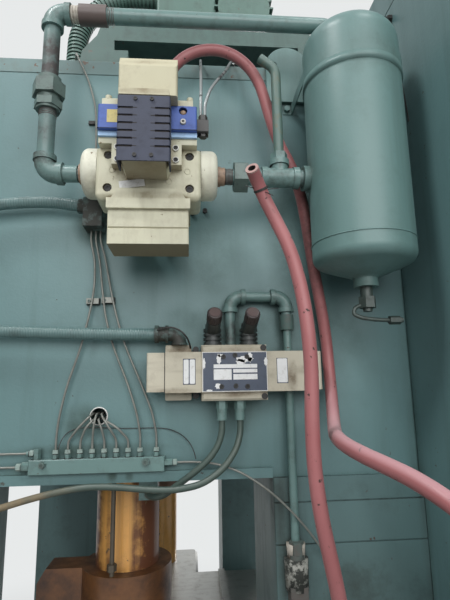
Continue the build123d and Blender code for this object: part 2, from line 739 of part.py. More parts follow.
with BuildPart() as clamp_strips:
    block(strip_x, strip_out, (manifold_up[1], manifold_up[1] + strip_height))
    chamfer(clamp_strips.faces().sort_by(Axis.Z)[-1].edges(), 3)
    for x in (-6.0, 150.0):
        rod(spot(x, 182, manifold_up[1] + strip_height), spot(x, 182, manifold_up[1] + strip_height + 7), peg_radius)
clamp_strips.part.label = "clamp_strips"
export_step(clamp_strips.part, "parts/clamp_strips.step")

button_back = manifold_out[1] - button_depth + button_travel + air_gap

with BuildPart() as override_button:
    rod(spot(button_place[0], button_back, button_place[1]),
        spot(button_place[0], manifold_out[1] + button_proud, button_place[1]), button_radius)
    chamfer(override_button.faces().sort_by(Axis.Y)[0].edges(), 1)
override_button.part.label = "override_button"
export_step(override_button.part, "parts/override_button.step")

# Sensor connector at the right of the manifold, with its two cables over the top of the crown
connector_x = 176.0
connector_out = 150.0
connector_up = (685.0, 713.0)
cable_radius = 3.2

with BuildPart() as sensor_connector:
    block((manifold_x[1], connector_x + 11), (connector_out - 12, connector_out + 12), connector_up)
    chamfer(sensor_connector.edges().filter_by(Axis.X), 2)
    hexagon(spot(connector_x, connector_out, connector_up[1]), spot(connector_x, connector_out, connector_up[1] + 12), 16)
    hexagon(spot(connector_x, connector_out, connector_up[0]), spot(connector_x, connector_out, connector_up[0] - 6), 14)
sensor_connector.part.label = "sensor_connector"
export_step(sensor_connector.part, "parts/sensor_connector.step")

cable_top = connector_up[1] + 12
cable_exit_out = -80.0
cable_exit_up = crown_top + 5.0

with BuildPart() as sensor_cables:
    routed_tube(
        [
            spot(connector_x - 4, connector_out - 4, cable_top),
            spot(connector_x - 4, connector_out - 4, cable_top + 25),
            spot(connector_x - 3, 136, 792),
            spot(connector_x - 2, 108, 848),
            spot(connector_x - 1, 64, 902),
            spot(connector_x, 22, 955),
            spot(connector_x + 1, -14, 980),
            spot(connector_x + 2, cable_exit_out + 28, cable_exit_up),
            spot(connector_x + 2, cable_exit_out, cable_exit_up),
        ],
        2 * cable_radius,
    )
    routed_tube(
        [
            spot(connector_x + 4, connector_out + 4, cable_top),
            spot(connector_x + 4, connector_out + 4, cable_top + 23),
            spot(connector_x + 14, 144, 788),
            spot(connector_x + 32, 112, 836),
            spot(connector_x + 54, 68, 890),
            spot(connector_x + 72, 24, 952),
            spot(connector_x + 84, -14, 980),
            spot(connector_x + 90, cable_exit_out + 28, cable_exit_up),
            spot(connector_x + 90, cable_exit_out, cable_exit_up),
        ],
        2 * cable_radius,
    )
sensor_cables.part.label = "sensor_cables"
export_step(sensor_cables.part, "parts/sensor_cables.step")

# Socket screws of the valve, its pilot ears and cover, and the two spare bolts in the wall
screw_radius = 4.0

with BuildPart() as socket_screws:
    faces = [(x, valve_out[1] - bolt_depth, up, bolt_radius, 5) for x in bolt_x for up in bolt_up]
    faces += [(x, ear_out, up, screw_radius + 0.5, 4) for x in (15.0, 123.0) for up in (607.0, 631.0)]
    faces += [(x, cover_face, up, screw_radius - 0.5, 2.5) for x in (54.0, 83.0) for up in (584.0, 691.0)]
    faces += [(x, 0, up, 5.5, 6) for x, up in ((155.0, 577.0), (184.0, 583.0))]
    for x, out, up, radius, head in faces:
        with Locations(Plane(origin=spot(x, out, up), z_dir=(0, -1, 0))):
            Cylinder(radius, head, align=(Align.CENTER, Align.CENTER, Align.MIN))
    for x, out, up, radius, head in faces:
        with Locations(Plane(origin=spot(x, out + head, up), z_dir=(0, -1, 0))):
            Cylinder(radius * 0.5, head * 0.5, align=(Align.CENTER, Align.CENTER, Align.CENTER), mode=Mode.SUBTRACT)
socket_screws.part.label = "socket_screws"
export_step(socket_screws.part, "parts/socket_screws.step")

# Threaded pipework. Each joint is a socket that the pipe's end butts into.
UP = Vector(0, 0, 1)
DOWN = Vector(0, 0, -1)
LEFT = Vector(-1, 0, 0)
RIGHT = Vector(1, 0, 0)
socket_depth = 12.0
elbow_reach = 38.0
riser_x = -142.0
top_up = crown_top + pipe_radius + 4.3
top_end_x = 484.0
top_end_bend = 40.0
top_end_out = -8.0
top_clamp_deep = 40.0
top_clamp_half = 26.0
top_clamp_height = 47.0
lug_thick = 12.0
union_up = 788.0
union_height = 74.0
union_flats = 58.0
half_radius = 10.65
half_reach = 34.0
half_socket = 10.0
loop_out = 21.0
loop_up = 378.4
loop_left_x = 235.6
loop_right_x = 358.6
loop_port_depth = 6.0
drop_radius = 8.6
drop_end = -117.0
drop_foot_radius = 15.0
drop_coupling_up = (305.0, 338.0)
valve_top_up = 271.0
tee_reach = 39.0
branch_top = 652.0


def elbow(corner, first, second, reach, radius, socket):
    """A cast elbow between two directions, banded and bored at both mouths."""
    ends = [corner + way * reach for way in (first, second)]
    with BuildLine() as bend:
        FilletPolyline(ends[0], corner, ends[1], radius=reach - socket)
    with BuildSketch(Plane(origin=ends[0], z_dir=corner - ends[0])) as section:
        Circle(radius + 3.5)
    sweep(sections=section.sketch, path=bend.wires()[0])
    for way in (first, second):
        rod(corner + way * (reach - socket), corner + way * reach, radius + 6)
    for way in (first, second):
        with Locations(Plane(origin=corner + way * reach, z_dir=way * -1)):
            Cylinder(radius + socket_gap, socket, align=(Align.CENTER, Align.CENTER, Align.MIN), mode=Mode.SUBTRACT)


def sleeve(start, end, radius, wall_thick, socket):
    """A coupling bored at both ends."""
    rod(start, end, radius + wall_thick)
    for mouth, other in ((start, end), (end, start)):
        with Locations(Plane(origin=mouth, z_dir=other - mouth)):
            Cylinder(radius + socket_gap, socket, align=(Align.CENTER, Align.CENTER, Align.MIN), mode=Mode.SUBTRACT)


coupling_x = (-86.0, -28.0)
left_cap_x = valve_x[0] - cap_length
riser_union = (union_up - union_height / 2, union_up + union_height / 2)
tank_out = 125.0
boss_radius_side = 26.0

with BuildPart() as steel_pipes:
    reach_in = elbow_reach - socket_depth
    rod(spot(riser_x + reach_in, pipe_out, top_up), spot(coupling_x[0] + socket_depth, pipe_out, top_up), pipe_radius)
    top_pipe = [(coupling_x[1] - socket_depth, pipe_out), (top_end_x, pipe_out), (top_end_x, top_end_out)]
    routed_tube([spot(x, out, top_up) for x, out in top_pipe], 2 * pipe_radius, largest=top_end_bend)
    rod(spot(riser_x, pipe_out, top_up - reach_in), spot(riser_x, pipe_out, riser_union[1] - socket_depth), pipe_radius)
    rod(spot(riser_x, pipe_out, riser_union[0] + socket_depth), spot(riser_x, pipe_out, port_up + reach_in), pipe_radius)
    rod(spot(riser_x + reach_in, pipe_out, port_up), spot(left_cap_x - 12, pipe_out, port_up), pipe_radius)
    rod(spot(left_cap_x - 12, pipe_out, port_up), spot(left_cap_x + port_depth, pipe_out, port_up), port_radius)
    rod(spot(right_cap_x - port_depth, pipe_out, port_up), spot(right_cap_x + 17, pipe_out, port_up), port_radius)
    rod(spot(right_cap_x + 17, pipe_out, port_up), spot(right_union_x[0] + 6, pipe_out, port_up), pipe_radius - 1)
    rod(spot(right_union_x[1] - 6, pipe_out, port_up), spot(tee_x - tee_reach + socket_depth, pipe_out, port_up), pipe_radius)
    rod(spot(tee_x + tee_reach - socket_depth, pipe_out, port_up), spot(boss_face_x + 8, pipe_out, port_up), pipe_radius)
    loop_in = half_reach - half_socket
    loop_foot = spot(loop_left_x, loop_out, valve_top_up - loop_port_depth)
    rod(loop_foot, spot(loop_left_x, loop_out, loop_up - loop_in), half_radius)
    rod(spot(loop_left_x + loop_in, loop_out, loop_up), spot(loop_right_x - loop_in, loop_out, loop_up), half_radius)
    drop_joint = sum(drop_coupling_up) / 2
    rod(spot(loop_right_x, loop_out, loop_up - loop_in), spot(loop_right_x, loop_out, drop_joint), half_radius)
    rod(spot(loop_right_x, loop_out, drop_joint), spot(loop_right_x, loop_out, drop_end), drop_radius)
steel_pipes.part.label = "steel_pipes"
export_step(steel_pipes.part, "parts/steel_pipes.step")

with BuildPart() as pipe_elbows:
    elbow(spot(riser_x, pipe_out, top_up), DOWN, RIGHT, elbow_reach, pipe_radius, socket_depth)
    elbow(spot(riser_x, pipe_out, port_up), UP, RIGHT, elbow_reach, pipe_radius, socket_depth)
    elbow(spot(loop_left_x, loop_out, loop_up), DOWN, RIGHT, half_reach, half_radius, half_socket)
    elbow(spot(loop_right_x, loop_out, loop_up), LEFT, DOWN, half_reach, half_radius, half_socket)
pipe_elbows.part.label = "pipe_elbows"
export_step(pipe_elbows.part, "parts/pipe_elbows.step")

with BuildPart() as pipe_couplings:
    sleeve(spot(coupling_x[0], pipe_out, top_up), spot(coupling_x[1], pipe_out, top_up), pipe_radius, 5, socket_depth)
    low, high = drop_coupling_up
    rod(spot(loop_right_x, loop_out, low), spot(loop_right_x, loop_out, high), half_radius + 4.5)
    with Locations(spot(loop_right_x, loop_out, (drop_joint + high) / 2)):
        Cylinder(half_radius + socket_gap, high - drop_joint, mode=Mode.SUBTRACT)
    with Locations(spot(loop_right_x, loop_out, (drop_joint + low) / 2)):
        Cylinder(drop_radius + socket_gap, drop_joint - low, mode=Mode.SUBTRACT)
    clamp_x = (top_end_x - top_clamp_half, top_end_x + top_clamp_half)
    block(clamp_x, (top_end_out - top_clamp_deep, top_end_out), (crown_top, crown_top + top_clamp_height))
    foot_out = upright_proud + drop_foot_radius + air_gap
    foot_flats = 1.73 * drop_foot_radius
    hexagon(spot(loop_right_x, foot_out, drop_end), spot(loop_right_x, foot_out, drop_end - 24), foot_flats)
    rod(spot(loop_right_x, foot_out, drop_end - 24), spot(loop_right_x, foot_out, drop_end - 80), drop_foot_radius)
    block((loop_right_x - 17, loop_right_x + 17), (upright_proud, 42), (drop_end - 113, drop_end - 80))
pipe_couplings.part.label = "pipe_couplings"
export_step(pipe_couplings.part, "parts/pipe_couplings.step")

with BuildPart() as hex_unions:
    sleeve(spot(riser_x, pipe_out, riser_union[0]), spot(riser_x, pipe_out, riser_union[1]), pipe_radius, 7, socket_depth)
    hexagon(spot(riser_x, pipe_out, union_up - 6), spot(riser_x, pipe_out, union_up + 24), union_flats)
    hexagon(spot(riser_x, pipe_out, union_up - 32), spot(riser_x, pipe_out, union_up - 16), union_flats - 8)
    with Locations(spot(riser_x, pipe_out, riser_union[0] + socket_depth / 2)):
        Cylinder(pipe_radius + socket_gap, socket_depth, mode=Mode.SUBTRACT)
    hexagon(spot(right_union_x[0], pipe_out, port_up), spot(right_union_x[1], pipe_out, port_up), union_flats)
    for x in (right_union_x[0] + 3, right_union_x[1] - 3):
        with Locations(spot(x, pipe_out, port_up)):
            Cylinder(pipe_radius + socket_gap, 6, rotation=(0, 90, 0), mode=Mode.SUBTRACT)
hex_unions.part.label = "hex_unions"
export_step(hex_unions.part, "parts/hex_unions.step")

with BuildPart() as pipe_tee:
    sleeve(spot(tee_x - tee_reach, pipe_out, port_up), spot(tee_x + tee_reach, pipe_out, port_up), pipe_radius, 3.5, 0.1)
    for way in (-1, 1):
        rod(spot(tee_x + way * tee_reach, pipe_out, port_up),
            spot(tee_x + way * (tee_reach - socket_depth), pipe_out, port_up), pipe_radius + 6)
    rod(spot(tee_x, pipe_out, port_up), spot(tee_x, pipe_out, branch_top), pipe_radius + 1)
    rod(spot(tee_x, pipe_out, branch_top - 12), spot(tee_x, pipe_out, branch_top), pipe_radius + 4)
    hexagon(spot(tee_x, pipe_out, branch_top), spot(tee_x, pipe_out, branch_top + 16), 31)
    for way in (-1, 1):
        with Locations(spot(tee_x + way * (tee_reach - socket_depth / 2), pipe_out, port_up)):
            Cylinder(pipe_radius + socket_gap, socket_depth, rotation=(0, 90, 0), mode=Mode.SUBTRACT)
    with Locations(spot(tee_x, pipe_out, branch_top + 11)):
        Cylinder(half_radius + socket_gap, 10, mode=Mode.SUBTRACT)
pipe_tee.part.label = "pipe_tee"
export_step(pipe_tee.part, "parts/pipe_tee.step")

branch_bend_up = 868.0

with BuildPart() as branch_pipe:
    routed_tube(
        [
            spot(tee_x, pipe_out, branch_top + 6),
            spot(tee_x, pipe_out, branch_bend_up),
            spot(tee_x - 34, pipe_out, branch_bend_up + 26),
        ],
        2 * half_radius,
        largest=30.0,
    )
branch_pipe.part.label = "branch_pipe"
export_step(branch_pipe.part, "parts/branch_pipe.step")

# Air tank: a welded vessel with a domed head, a dished foot and bosses for the pipe and the drain
tank_shoulder = 900.0
dome_height = 63.0
dome_pull = 0.6
dish_round = 22.0
dish_edge_up = 427.0
foot_boss_radius = 24.0
foot_boss_up = 378.0
drain_radius = 12.0

with BuildPart() as air_tank:
    axis_plane = Plane(origin=spot(tank_x, tank_out, 0), x_dir=(1, 0, 0), z_dir=(0, -1, 0))
    with BuildSketch(axis_plane) as tank_section:
        with BuildLine():
            Polyline((0, foot_boss_up), (foot_boss_radius, foot_boss_up), (foot_boss_radius, foot_boss_up + 18))
            FilletPolyline(
                (foot_boss_radius, foot_boss_up + 18),
                (tank_radius, dish_edge_up),
                (tank_radius, tank_shoulder),
                radius=dish_round,
            )
            dome_top = tank_shoulder + dome_height
            Bezier(
                (tank_radius, tank_shoulder),
                (tank_radius, tank_shoulder + dome_pull * dome_height),
                (dome_pull * tank_radius, dome_top),
                (0, dome_top),
            )
            Line((0, dome_top), (0, foot_boss_up))
        make_face()
    revolve(tank_section.sketch, axis=Axis(spot(tank_x, tank_out, 0), (0, 0, 1)))
    rod(spot(boss_face_x, pipe_out, port_up), spot(tank_x - tank_radius + 20, pipe_out, port_up), boss_radius_side)
    with Locations(spot(boss_face_x + 4, pipe_out, port_up)):
        Cylinder(pipe_radius + socket_gap, 8, rotation=(0, 90, 0), mode=Mode.SUBTRACT)
    with Locations(spot(tank_x, tank_out, foot_boss_up + 6)):
        Cylinder(drain_radius + socket_gap, 12, mode=Mode.SUBTRACT)
air_tank.part.label = "air_tank"
export_step(air_tank.part, "parts/air_tank.step")

# Tank bracket: the rounded lug plate and the backing strip that carry the tank on the wall
lug_x = tank_x - 112.0
lug_up = 955.0
lug_radius = 52.0
lug_foot_up = 860.0
lug_hole = (lug_x - 33.0, lug_up + 4.0)
lug_hole_radius = 8.0
saddle_half = 22.0
saddle_seat = 5.0
saddles_up = ((520.0, 560.0), (800.0, 840.0))

with BuildPart() as tank_bracket:
    with BuildSketch(Plane(origin=spot(0, 0, 0), x_dir=(1, 0, 0), z_dir=(0, -1, 0))) as lug_face:
        with Locations((lug_x, lug_up)):
            Circle(lug_radius)
        with Locations((lug_x, (lug_foot_up + lug_up) / 2)):
            Rectangle(2 * lug_radius, lug_up - lug_foot_up)
        with Locations(lug_hole):
            Circle(lug_hole_radius, mode=Mode.SUBTRACT)
    extrude(lug_face.sketch, amount=lug_thick)
    for saddle_up in saddles_up:
        block((tank_x - saddle_half, tank_x + saddle_half), (0, tank_out - tank_radius + saddle_seat), saddle_up)
    low, high = saddles_up[0][0], saddles_up[-1][-1]
    with Locations(spot(tank_x, tank_out, (low + high) / 2)):
        Cylinder(tank_radius + fit, 2 * (high - low), mode=Mode.SUBTRACT)
tank_bracket.part.label = "tank_bracket"
export_step(tank_bracket.part, "parts/tank_bracket.step")

# Tank strap: a steel band round the front of the tank, turned out at each end and bolted to the wall
strap_up = (832.0, 856.0)
strap_thick = 2.5
strap_foot = 22.0

with BuildPart() as tank_strap:
    with BuildSketch(Plane(origin=spot(tank_x, 0, strap_up[0]), x_dir=(1, 0, 0), z_dir=(0, 0, 1))) as strap_shape:
        with Locations((0, -tank_out)):
            Circle(tank_radius + air_gap + strap_thick)
        with Locations((0, -tank_out / 2)):
            Rectangle(2 * (tank_radius + air_gap + strap_thick), tank_out)
        with Locations((0, -tank_out)):
            Circle(tank_radius + air_gap, mode=Mode.SUBTRACT)
        with Locations((0, -tank_out / 2)):
            Rectangle(2 * (tank_radius + air_gap), tank_out, mode=Mode.SUBTRACT)
        for side in (-1, 1):
            with Locations((side * (tank_radius + air_gap + strap_foot / 2), -strap_thick / 2)):
                Rectangle(strap_foot, strap_thick)
    extrude(strap_shape.sketch, amount=strap_up[1] - strap_up[0])
    for side in (-1, 1):
        bolt_place = tank_x + side * (tank_radius + strap_foot * 0.62)
        middle_up = sum(strap_up) / 2
        hexagon(spot(bolt_place, strap_thick, middle_up), spot(bolt_place, strap_thick + 8, middle_up), 13)
tank_strap.part.label = "tank_strap"
export_step(tank_strap.part, "parts/tank_strap.step")

# Drain: nipple, hexagon valve and the bent tube with its end fitting
drain_hex_up = (336.0, 358.0)
drain_tube_radius = 4.0

with BuildPart() as drain_valve:
    rod(spot(tank_x, tank_out, foot_boss_up + 12), spot(tank_x, tank_out, drain_hex_up[1]), drain_radius)
    hexagon(spot(tank_x, tank_out, drain_hex_up[1]), spot(tank_x, tank_out, drain_hex_up[0]), 30)
    rod(spot(tank_x, tank_out, drain_hex_up[0]), spot(tank_x, tank_out, drain_hex_up[0] - 7), 9)
    routed_tube(
        [
            spot(tank_x - 13, tank_out, drain_hex_up[0] + 6),
            spot(tank_x - 26, tank_out + 1, drain_hex_up[0] + 1),
            spot(tank_x - 31, tank_out + 2, drain_hex_up[0] - 12),
            spot(tank_x - 16, tank_out + 4, drain_hex_up[0] - 20),
            spot(tank_x + 12, tank_out + 5, drain_hex_up[0] - 24),
            spot(tank_x + 44, tank_out + 4, drain_hex_up[0] - 25),
        ],
        2 * drain_tube_radius,
    )
    end_up = drain_hex_up[0] - 25
    hexagon(spot(tank_x + 40, tank_out + 4, end_up), spot(tank_x + 62, tank_out + 4, end_up), 15)
    rod(spot(tank_x + 62, tank_out + 4, end_up), spot(tank_x + 68, tank_out + 4, end_up), 5)
drain_valve.part.label = "drain_valve"
export_step(drain_valve.part, "parts/drain_valve.step")

# Directional valve on the wall: body with rims and a raised face, a solenoid at each side
dir_x = (172.0, 305.0)
dir_out = (0.0, 68.0)
dir_up = (160.0, valve_top_up)
face_up = (177.0, 257.0)
face_out = 75.0
solenoid_out = (30.0, 72.0)
solenoid_left_x = (99.0, 172.0)
solenoid_right_x = (305.0, 403.0)
end_cap_length = 36.0
end_cap_right = 14.0
cap_seam = 1.5
terminal_x = (98.0, 152.0)
terminal_depth = 29.7
terminal_up = (161.0, 274.0)
port_nipple = 12.0
throttle_x = (196.0, 272.0)
throttle_out = 40.0
throttle_radius = 19.0

with BuildPart() as directional_valve:
    block(dir_x, dir_out, dir_up)
    chamfer(directional_valve.faces().sort_by(Axis.Y)[0].edges(), 4)
    block(dir_x, (dir_out[1], face_out), face_up)
    for x in (213.0, 250.0):
        with Locations(spot(x, 45, dir_up[0] + port_nipple / 2)):
            Cylinder(9 + socket_gap, port_nipple, mode=Mode.SUBTRACT)
    ports = [(x, throttle_out, throttle_radius) for x in throttle_x] + [(loop_left_x, loop_out, half_radius)]
    for x, out, radius in ports:
        with Locations(spot(x, out, dir_up[1] - loop_port_depth / 2)):
            Cylinder(radius + socket_gap, loop_port_depth, mode=Mode.SUBTRACT)
directional_valve.part.label = "directional_valve"
export_step(directional_valve.part, "parts/directional_valve.step")

with BuildPart() as solenoids:
    for inner_x, outer_x, cap in ((*reversed(solenoid_left_x), -end_cap_length), (*solenoid_right_x, end_cap_right)):
        block((inner_x, outer_x), solenoid_out, face_up)
        block((outer_x, outer_x + cap), (solenoid_out[0] + 1, solenoid_out[1] - 1), (face_up[0] + 2, face_up[1] - 1))
        with Locations(spot(outer_x, sum(solenoid_out) / 2, sum(face_up) / 2)):
            Box(cap_seam, 100, 100, mode=Mode.SUBTRACT)
        block((outer_x - cap_seam, outer_x + cap_seam), (34, 68), (face_up[0] + 5, face_up[1] - 5))
    ends = solenoids.edges().filter_by(Axis.Z).group_by(Axis.X)
    fillet(ends[0] + ends[-1], 5)
solenoids.part.label = "solenoids"
export_step(solenoids.part, "parts/solenoids.step")

with BuildPart() as terminal_box:
    block(terminal_x, (0, terminal_depth), terminal_up)
    fillet(terminal_box.edges().filter_by(Axis.Y), 3)
terminal_box.part.label = "terminal_box"
export_step(terminal_box.part, "parts/terminal_box.step")

# Flow controls: two ribbed throttles on the valve, each with a knob that turns on a slanted stem
neck_radius = 15.0
neck_slant = Vector(0.04, -0.87, 0.49).normalized()
neck_start = (46.0, 302.0)
neck_length = 38.0
knob_radius = 14.5
knob_length = 24.0
stem_radius = 4.0
stem_length = 16.0

with BuildPart() as flow_controls:
    for x in throttle_x:
        throttle_foot = dir_up[1] - loop_port_depth
        rod(spot(x, throttle_out, throttle_foot), spot(x, throttle_out, 306), throttle_radius - 3)
        for low, high in ((throttle_foot, 278), (282, 287), (291, 296), (300, 306)):
            rod(spot(x, throttle_out, low), spot(x, throttle_out, high), throttle_radius)
        start = spot(x, *neck_start)
        rod(start, start + neck_slant * neck_length, neck_radius)
        rod(spot(x, throttle_out, 306), spot(x, throttle_out + 4, 316), neck_radius)
        stem_from = start + neck_slant * neck_length
        rod(stem_from, stem_from + neck_slant * stem_length, stem_radius)
flow_controls.part.label = "flow_controls"
export_step(flow_controls.part, "parts/flow_controls.step")

for x, side_name in zip(throttle_x, ("left", "right")):
    with BuildPart() as flow_knob:
        back = spot(x, *neck_start) + neck_slant * (neck_length + air_gap)
        rod(back, back + neck_slant * knob_length, knob_radius)
        fillet(flow_knob.edges().filter_by(GeomType.CIRCLE).sort_by(Axis.Y)[0], 2.5)
        with Locations(Plane(origin=back, z_dir=neck_slant)):
            depth = stem_length + air_gap
            Cylinder(stem_radius + fit, depth, align=(Align.CENTER, Align.CENTER, Align.MIN), mode=Mode.SUBTRACT)
    flow_knob.part.label = f"flow_knob_{side_name}"
    export_step(flow_knob.part, f"parts/flow_knob_{side_name}.step")

# Lubrication manifold with its row of tube fittings
lube_x = (-171.0, 97.0)
lube_out = 20.0
lube_up = (21.0, 50.0)
lube_fitting_out = 11.0
lube_fitting_first = -121.0
lube_fitting_pitch = 24.0
lube_fitting_count = 8
lube_fitting_last = 80.0
lube_fitting_height = 17.0
lube_tube_radius = 2.25
lube_bolt_x = (-141.0, 62.0)
fitting_places = [lube_fitting_first + i * lube_fitting_pitch for i in range(lube_fitting_count)]
fitting_places.append(lube_fitting_last)

with BuildPart() as lube_manifold:
    block(lube_x, (0, lube_out), lube_up)
    chamfer(lube_manifold.faces().sort_by(Axis.Y)[0].edges(), 1.5)
    for x in lube_bolt_x:
        hexagon(spot(x, lube_out, 41), spot(x, lube_out + 5, 41), 10)
lube_manifold.part.label = "lube_manifold"
export_step(lube_manifold.part, "parts/lube_manifold.step")

left_fitting_up = (62.0, 36.0)
right_fitting_up = 37.0

with BuildPart() as lube_fittings:
    top = lube_up[1]
    for x in fitting_places:
        hexagon(spot(x, lube_fitting_out, top), spot(x, lube_fitting_out, top + 9), 11)
        rod(spot(x, lube_fitting_out, top + 9), spot(x, lube_fitting_out, top + lube_fitting_height), 4.5)
    hexagon(spot(lube_x[0] + 14, lube_fitting_out, top), spot(lube_x[0] + 14, lube_fitting_out, top + 20), 13)
    rod(spot(lube_x[0] + 14, lube_fitting_out, left_fitting_up[0]),
        spot(lube_x[0] - 6, lube_fitting_out, left_fitting_up[0]), 5)
    rod(spot(lube_x[0], lube_fitting_out, left_fitting_up[1]),
        spot(lube_x[0] - 26, lube_fitting_out, left_fitting_up[1]), 5)
    hexagon(spot(lube_x[0], lube_fitting_out, left_fitting_up[1]),
            spot(lube_x[0] - 14, lube_fitting_out, left_fitting_up[1]), 17)
    rod(spot(lube_x[1], lube_fitting_out, right_fitting_up), spot(lube_x[1] + 26, lube_fitting_out, right_fitting_up), 4.5)
    hexagon(spot(lube_x[1], lube_fitting_out, right_fitting_up),
            spot(lube_x[1] + 16, lube_fitting_out, right_fitting_up), 13)
lube_fittings.part.label = "lube_fittings"
export_step(lube_fittings.part, "parts/lube_fittings.step")

# Conduits with their end fittings: one to the tube gland under the valve, one to the terminal box
conduit_radius = 12.5
gland_x = -58.0
gland_block_up = (528.0, 592.0)
conduit_left_x = wall_left + 80.0
conduit_left_up = (525.0, 317.0)
conduit_lead = 38.0
conduit_up = 297.0
terminal_elbow_x = 127.0
gland_lead = spot(gland_x - 92, 34, 586)
gland_mouth = spot(gland_x - 32, 34, 578)

with BuildPart() as conduits:
    routed_tube(
        [
            spot(conduit_left_x, 34, conduit_left_up[0]),
            spot(conduit_left_x + conduit_lead, 34, conduit_left_up[0]),
            spot(-375, 34, 558),
            spot(-290, 34, 574),
            spot(-215, 34, 584),
            gland_lead,
            gland_mouth,
        ],
        2 * conduit_radius,
    )
    routed_tube(
        [
            spot(conduit_left_x, 34, conduit_left_up[1]),
            spot(conduit_left_x + conduit_lead, 34, conduit_left_up[1]),
            spot(-220, 34, 305),
            spot(-60, 34, 299),
            spot(20, 34, conduit_up),
            spot(76, 34, conduit_up),
        ],
        2 * conduit_radius,
    )
conduits.part.label = "conduits"
export_step(conduits.part, "parts/conduits.step")

gland_way = (gland_mouth - gland_lead).normalized()

with BuildPart() as conduit_fittings:
    rod(gland_mouth, gland_mouth + gland_way * 14, conduit_radius + 4)
    block((gland_x - 20, gland_x + 20), (0, 50), gland_block_up)
    rod(spot(76, 34, conduit_up), spot(84, 34, conduit_up), conduit_radius + 6)
    rod(spot(84, 34, conduit_up), spot(98, 34, conduit_up), conduit_radius + 3)
    rod(spot(98, 34, conduit_up), spot(104, 34, conduit_up), conduit_radius + 6)
    with BuildLine() as bend:
        FilletPolyline(spot(104, 34, conduit_up), spot(terminal_elbow_x, 34, conduit_up),
                       spot(terminal_elbow_x, 34, terminal_up[1]), radius=18)
    with BuildSketch(Plane(origin=spot(104, 34, conduit_up), z_dir=(1, 0, 0))) as section:
        Circle(conduit_radius + 2)
    sweep(sections=section.sketch, path=bend.wires()[0])
    rod(spot(terminal_elbow_x, 34, terminal_up[1]), spot(terminal_elbow_x, 34, terminal_up[1] + 4), conduit_radius + 4)
    for up in conduit_left_up:
        block((conduit_left_x - 44, conduit_left_x), (0, 62), (up - 30, up + 30))
    block((connector_x - 12, connector_x + 104), (cable_exit_out - 30, cable_exit_out), (crown_top, crown_top + 16))
conduit_fittings.part.label = "conduit_fittings"
export_step(conduit_fittings.part, "parts/conduit_fittings.step")

# Lubrication tubes: a fan into the wall's hole, three long tubes to the gland and the feed tubes
tube_hole_pitch = 4.4
tube_hole_row = 5.0
tube_out = 15.0
end_block_half = 9.0
end_block_out = upright_proud + end_block_half
line_end_x = wall_left + 85.0
gland_foot, gland_head = gland_block_up

with BuildPart() as lube_tubes:
    tube_foot = lube_up[1] + lube_fitting_height
    for i, x in enumerate(fitting_places[1:7]):
        inside = tube_hole_x + (i - 2.5) * tube_hole_pitch
        entry_up = tube_hole_up + tube_hole_row * (-1) ** i
        routed_tube(
            [
                spot(x, lube_fitting_out, tube_foot),
                spot(x, lube_fitting_out, tube_foot + 17),
                spot(x + (inside - x) * 0.45, 22, tube_foot + 44),
                spot(inside, 18, entry_up),
                spot(inside, -30, entry_up),
            ],
            2 * lube_tube_radius,
        )
    routed_tube(
        [
            spot(fitting_places[0], lube_fitting_out, tube_foot),
            spot(fitting_places[0], lube_fitting_out, tube_foot + 28),
            spot(-116, tube_out, 134),
            spot(-103, tube_out, 198),
            spot(-80, tube_out, 267),
            spot(-64, tube_out, 340),
            spot(-55, tube_out, 400),
            spot(-56, tube_out, 460),
            spot(-66, tube_out, 502),
            spot(-66, tube_out, gland_foot),
        ],
        2 * lube_tube_radius,
    )
    routed_tube(
        [
            spot(fitting_places[7], lube_fitting_out, tube_foot),
            spot(fitting_places[7], lube_fitting_out, tube_foot + 26),
            spot(40, tube_out, 134),
            spot(20, tube_out, 196),
            spot(-12, tube_out, 272),
            spot(-30, tube_out, 335),
            spot(-39, tube_out, 400),
            spot(-46, tube_out, 462),
            spot(-56, tube_out, 504),
            spot(-56, tube_out, gland_foot),
        ],
        2 * lube_tube_radius,
    )
    routed_tube(
        [
            spot(fitting_places[8], lube_fitting_out, tube_foot),
            spot(fitting_places[8], lube_fitting_out, tube_foot + 26),
            spot(71, tube_out, 138),
            spot(44, tube_out, 204),
            spot(12, tube_out, 275),
            spot(-10, tube_out, 348),
            spot(-24, tube_out, 412),
            spot(-35, tube_out, 470),
            spot(-46, tube_out, 506),
            spot(-46, tube_out, gland_foot),
        ],
        2 * lube_tube_radius,
    )
    routed_tube(
        [
            spot(lube_x[1] + 26, lube_fitting_out, right_fitting_up),
            spot(154, lube_fitting_out, right_fitting_up),
            spot(200, 18, 34),
            spot(250, 28, 18),
            spot(304, 36, -16),
            spot(352, 38, -60),
            spot(392, 34, -108),
            spot(422, 26, -152),
            spot(440, end_block_out, -186),
            spot(440, end_block_out, -215),
        ],
        2 * lube_tube_radius,
    )
    routed_tube(
        [
            spot(gland_x + 2, 30, gland_head),
            spot(gland_x + 2, 30, gland_head + 28),
            spot(gland_x - 3, 23, 672),
            spot(gland_x - 5, 16, 740),
            spot(gland_x - 8, 13, 825),
            spot(gland_x - 28, 12, 898),
            spot(gland_x - 50, 12, 946),
            spot(gland_x - 60, 8, 972),
            spot(gland_x - 66, -10, 983),
            spot(gland_x - 70, -24, 972),
            spot(gland_x - 70, -40, 972),
        ],
        2 * lube_tube_radius,
    )
    block((gland_x - 77, gland_x - 63), (-52, -40), (crown_top, 979))
    for up, start_x in zip(left_fitting_up, (lube_x[0] - 6, lube_x[0] - 26)):
        rod(spot(start_x, lube_fitting_out, up), spot(line_end_x, lube_fitting_out, up), lube_tube_radius)
    block((line_end_x - 14, line_end_x), (0, 22), (27, 71))
    block((430, 450), (upright_proud, upright_proud + 2 * end_block_half), (-233, -215))
    for x, up in ((-59.0, 372.0), (-27.0, 374.0)):
        block((x - 13, x + 13), (0, tube_out - lube_tube_radius), (up - 6, up + 6))
lube_tubes.part.label = "lube_tubes"
